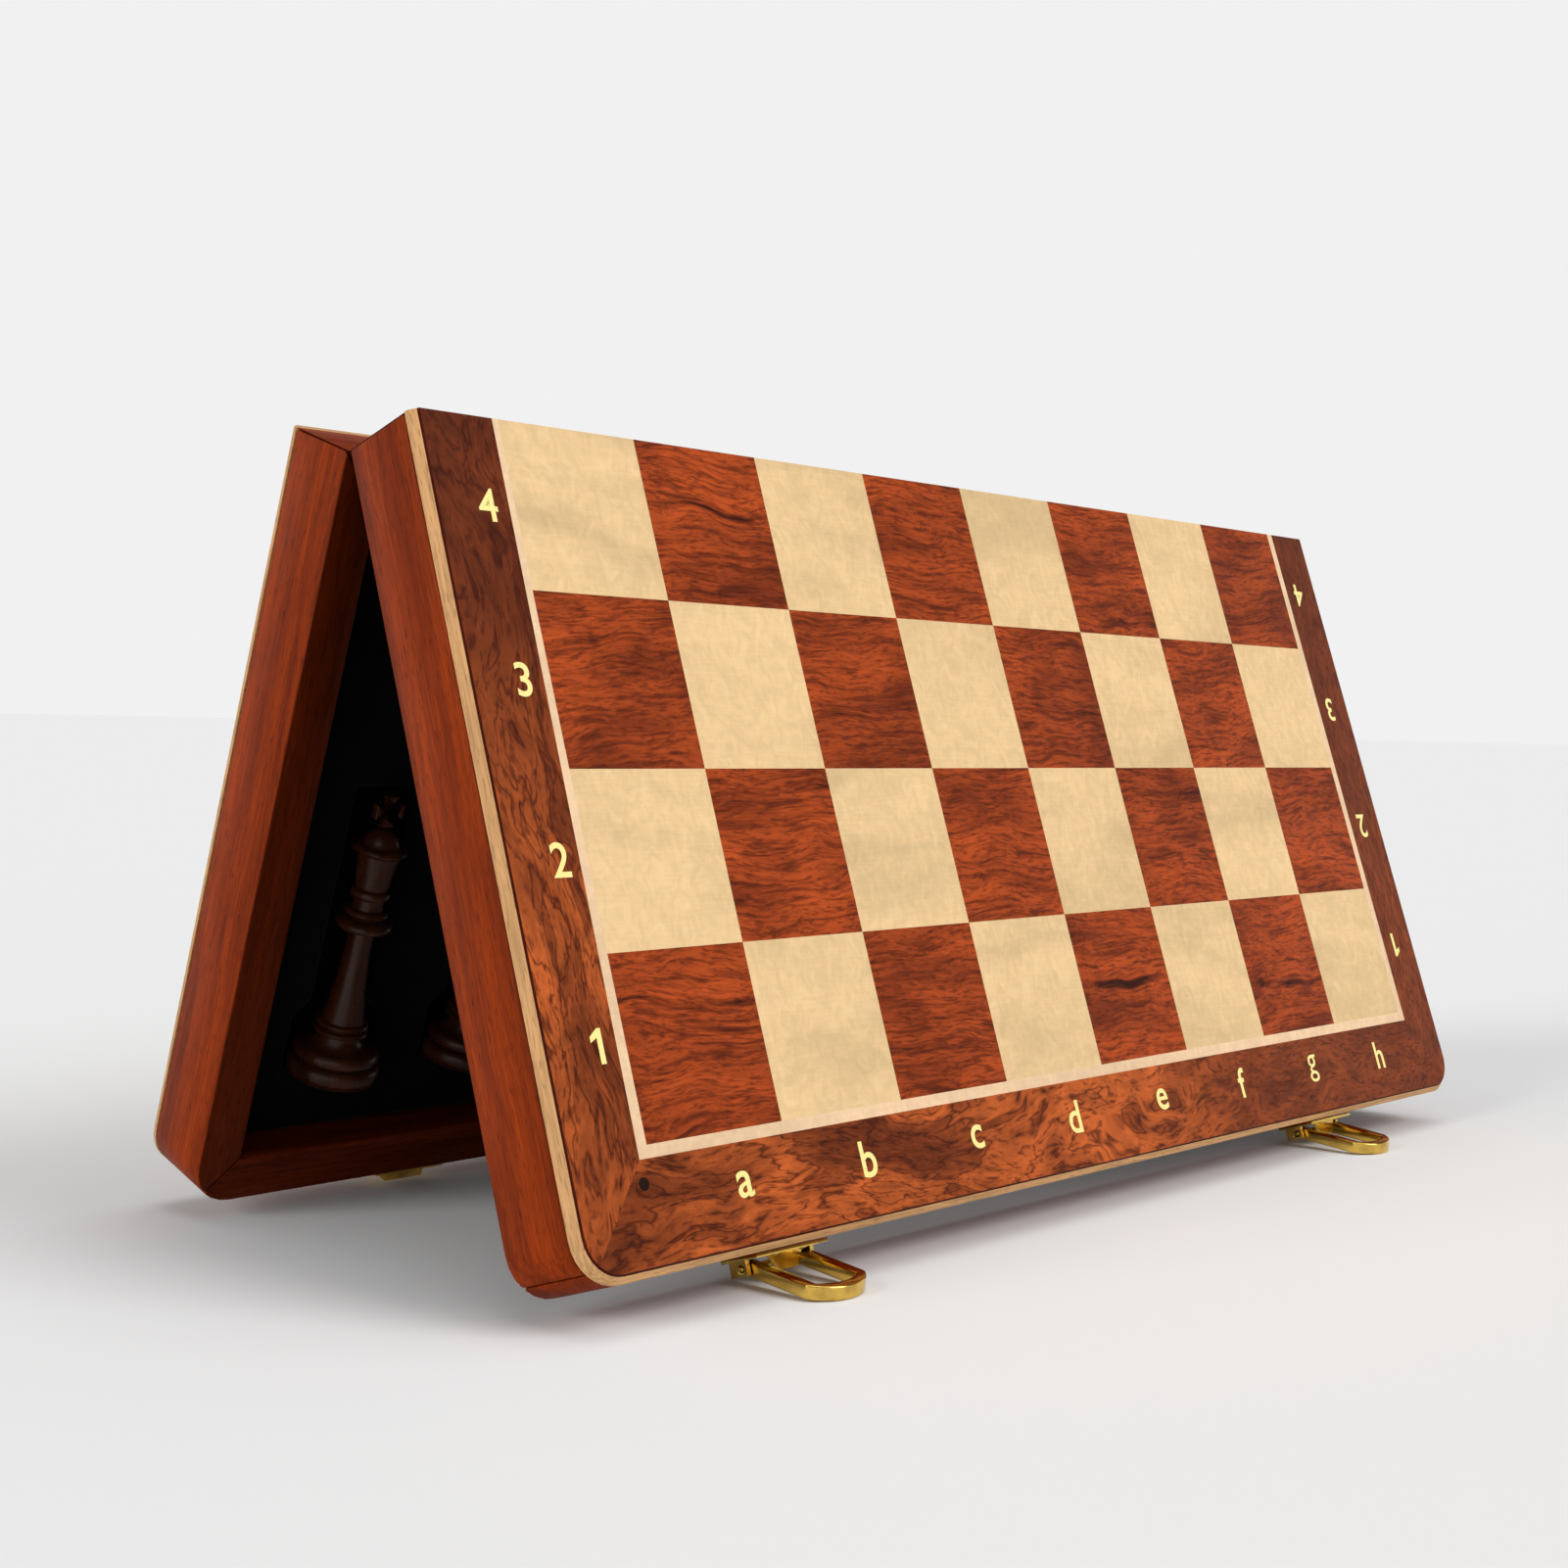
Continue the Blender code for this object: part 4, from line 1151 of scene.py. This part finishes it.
def knight_mesh(top, base):
    """A turned foot with a carved horse's head that faces +x."""
    neck = base * 0.5 + 4.6
    low = foot(base, 7.4, neck + 6)
    start = next(n for n, (radius, _) in enumerate(low) if radius > 8.2)
    shape = in_metres(lathe([(0, neck), (7.7, neck), (8, neck - 0.5)] + low[start:], settings("men").sides))
    rise = (top - neck) / 41
    head = prism([(0.92 * x, neck + rise * z) for x, z in HORSE], -5, 5)
    bmesh.ops.rotate(head, matrix=Matrix.Rotation(math.pi / 2, 3, "X"), verts=head.verts)
    made = new_object("horse", to_mesh(in_metres(head), "horse"), Matrix())
    add_bevel(made, 1.1 * MM, 2, 20)
    grid = made.modifiers.new("Even faces", "REMESH")
    grid.mode = "VOXEL"
    grid.voxel_size = 0.55 * MM
    mesh = evaluated(made, "horse")
    for vertex in mesh.vertices:
        vertex.co.y *= knight_thickness(vertex.co.x / MM / 0.92, (vertex.co.z / MM - neck) / rise)
    made = new_object("horse", mesh, Matrix())
    made.modifiers.new("Sanded", "SMOOTH").iterations = 3
    shape.from_mesh(evaluated(made, "horse"))
    for forward, up, wide, radius in ((4.0, 28.6, 3.5, 0.85), (7.5, 21.8, 2.2, 0.55)):
        for sign in (-1, 1):
            place = Matrix.Translation(Vector((forward, sign * wide, neck + rise * up)) * MM)
            bmesh.ops.create_icosphere(shape, subdivisions=2, radius=radius * MM, matrix=place)
    return to_mesh(shape, "knight")


MAN_MESHES = {
    "king": king_mesh,
    "queen": queen_mesh,
    "bishop": bishop_mesh,
    "knight": knight_mesh,
    "rook": rook_mesh,
    "pawn": pawn_mesh,
}


def man_finishes(shade_name):
    men = settings("men")
    pair = (men.light_wood, men.light_grain) if shade_name == "light" else (men.dark_wood, men.dark_grain)
    light, dark = (colour[:] for colour in pair)
    look = {"grain": "z", "figure": 0.3, "band": 170, "roughness": 0.3, "gloss": 0.25}
    timber = once(f"{shade_name}_wood", wood, light, dark, **look)
    return [timber, once("felt", flock, men.felt[:])]


def man_mesh(kind, shade_name, height, base):
    """A finished man standing on z = 0, with felt under his foot."""
    mesh = MAN_MESHES[kind](height / MM, base / MM)
    mesh.name = f"{shade_name}_{kind}"
    mesh.materials.clear()
    for finish in man_finishes(shade_name):
        mesh.materials.append(finish)
    for face in mesh.polygons:
        face.material_index = int(all(mesh.vertices[n].co.z < 0.05 * MM for n in face.vertices))
    mesh.shade_smooth()
    mesh.set_sharp_from_angle(angle=math.radians(42))
    return mesh


def lying_place(side, node):
    """A lying man's own space in the world, his height and his base's width, read from his solid."""
    low, high = span(node, tray_matrix(side))
    base = high.x - low.x
    way = -1 if HEADS_TO_HINGE[side] else 1
    foot_end = high.y if HEADS_TO_HINGE[side] else low.y
    place = Matrix.Translation(((low.x + high.x) / 2, foot_end, low.z + base / 2))
    return tray_matrix(side) @ place @ Matrix.Rotation(-way * math.pi / 2, 4, "X"), high.y - low.y, base


class CHESS_OT_chessmen(bpy.types.Operator):
    """Turns and carves the two sets of chessmen and lays them in their pockets"""

    bl_idname = "chess_set.chessmen"
    bl_label = "Chessmen"

    def execute(self, context):
        draw = random.Random(32)
        for side, shade_name in MEN_SHADE.items():
            made = {}
            for node in sorted(name for name in frame["nodes"] if name.startswith(shade_name + "_")):
                kind = node.split("_")[1]
                place, height, base = lying_place(side, node)
                if kind not in made:
                    made[kind] = man_mesh(kind, shade_name, height, base)
                turn = 0 if kind in ("king", "knight") else draw.uniform(0, 360)
                spin = Matrix.Rotation(math.radians(turn), 4, "Z")
                piece = new_object(f"{node}_finished", made[kind], place @ spin)
                fix(piece, node, f"{shade_name}_chessmen", node)
        return {"FINISHED"}


# Stage


def soft_sun(name, azimuth, height, brightness, spread):
    """A soft light from far away. Its brightness is that of a white surface that faces it."""
    data = bpy.data.lights.new(name, "SUN")
    data.energy = math.pi * brightness
    data.angle = math.radians(spread)
    turn = Matrix.Rotation(math.radians(azimuth), 4, "Z")
    tilt = Matrix.Rotation(math.radians(90 - height), 4, "X")
    return new_object(name, data, turn @ tilt)


def pale_surroundings(horizon, overhead):
    """A world that is pale round the horizon and dimmer overhead."""
    world = bpy.data.worlds.new("surroundings")
    world.use_nodes = True
    tree = world.node_tree
    way = tree.nodes.new("ShaderNodeTexCoord")
    split = tree.nodes.new("ShaderNodeSeparateXYZ")
    fade = tree.nodes.new("ShaderNodeValToRGB")
    tree.links.new(way.outputs["Generated"], split.inputs[0])
    tree.links.new(split.outputs["Z"], fade.inputs["Fac"])
    tree.links.new(fade.outputs["Color"], tree.nodes["Background"].inputs["Color"])
    for stop, place, level in zip(fade.color_ramp.elements, (0.33, 0.5), (horizon, overhead)):
        stop.position = place
        stop.color = (level, level, level, 1)
    return world


def plain_floor(colour):
    """A large pale floor that takes the set's soft shadow."""
    finish = Finish("plain_floor")
    finish.set(Base_Color=opaque(colour), Roughness=1.0, Specular_IOR_Level=0.0)
    shape = bmesh.new()
    bmesh.ops.create_grid(shape, size=60)
    return new_object("floor", to_mesh(shape, "floor", [finish.material]), Matrix())


class CHESS_OT_stage(bpy.types.Operator):
    """Sets the floor, the soft lights, the plain surroundings and the camera"""

    bl_idname = "chess_set.stage"
    bl_label = "Stage"

    def execute(self, context):
        stage = settings("stage")
        scene = context.scene
        scene.view_settings.view_transform = "Standard"
        made = [
            plain_floor(stage.floor[:]),
            soft_sun("front_light", 22, 40, stage.front, 30),
            soft_sun("left_light", -100, 24, stage.left, 30),
            soft_sun("top_light", 30, 80, stage.top, 50),
        ]
        data = bpy.data.cameras.new("camera")
        data.lens = stage.lens
        data.shift_x, data.shift_y = stage.shift
        data.clip_start = 0.01
        turn = Matrix.Rotation(math.radians(stage.azimuth), 4, "Z")
        tilt = Matrix.Rotation(math.radians(90 - stage.elevation), 4, "X")
        roll = Matrix.Rotation(math.radians(stage.roll), 4, "Z")
        camera = new_object("camera", data, Matrix.Translation(stage.camera) @ turn @ tilt @ roll)
        scene.camera = camera
        scene.world = pale_surroundings(stage.horizon, stage.overhead)
        for piece in made + [camera]:
            piece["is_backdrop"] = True
        return {"FINISHED"}


# Add-on


class CHESS_PT_panel(bpy.types.Panel):
    """Lists the set's settings and the operators that make it"""

    bl_idname = "CHESS_PT_panel"
    bl_label = "Chess Set"
    bl_space_type = "VIEW_3D"
    bl_region_type = "UI"
    bl_category = "Chess Set"

    def draw(self, context):
        layout = self.layout
        for operator in OPERATORS:
            layout.operator(operator.bl_idname)
        for group in GROUPS:
            box = layout.box()
            box.label(text=group.title())
            for name in GROUPS[group].__annotations__:
                box.prop(settings(group), name)


GROUPS = {
    "board": ChessBoardSettings,
    "tray": ChessTraySettings,
    "metal": ChessMetalSettings,
    "men": ChessMenSettings,
    "stage": ChessStageSettings,
}
OPERATORS = (
    CHESS_OT_board_halves,
    CHESS_OT_coordinates,
    CHESS_OT_rails,
    CHESS_OT_inserts,
    CHESS_OT_chessmen,
    CHESS_OT_hinges,
    CHESS_OT_latches,
    CHESS_OT_stage,
)


def register():
    for cls in (*GROUPS.values(), *OPERATORS, CHESS_PT_panel):
        bpy.utils.register_class(cls)
    for group, cls in GROUPS.items():
        setattr(bpy.types.Scene, "chess_" + group, PointerProperty(type=cls))


def unregister():
    for group in GROUPS:
        delattr(bpy.types.Scene, "chess_" + group)
    for cls in reversed((*GROUPS.values(), *OPERATORS, CHESS_PT_panel)):
        bpy.utils.unregister_class(cls)


def main():
    register()
    for operator in OPERATORS:
        group, name = operator.bl_idname.split(".")
        getattr(getattr(bpy.ops, group), name)()
    bpy.context.view_layer.update()
    sizes = {"cad": CAD_BOX, "visual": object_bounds()}
    {key: [[float(v) for v in corner] for corner in box] for key, box in sizes.items()}


if __name__ == "__main__":
    main()
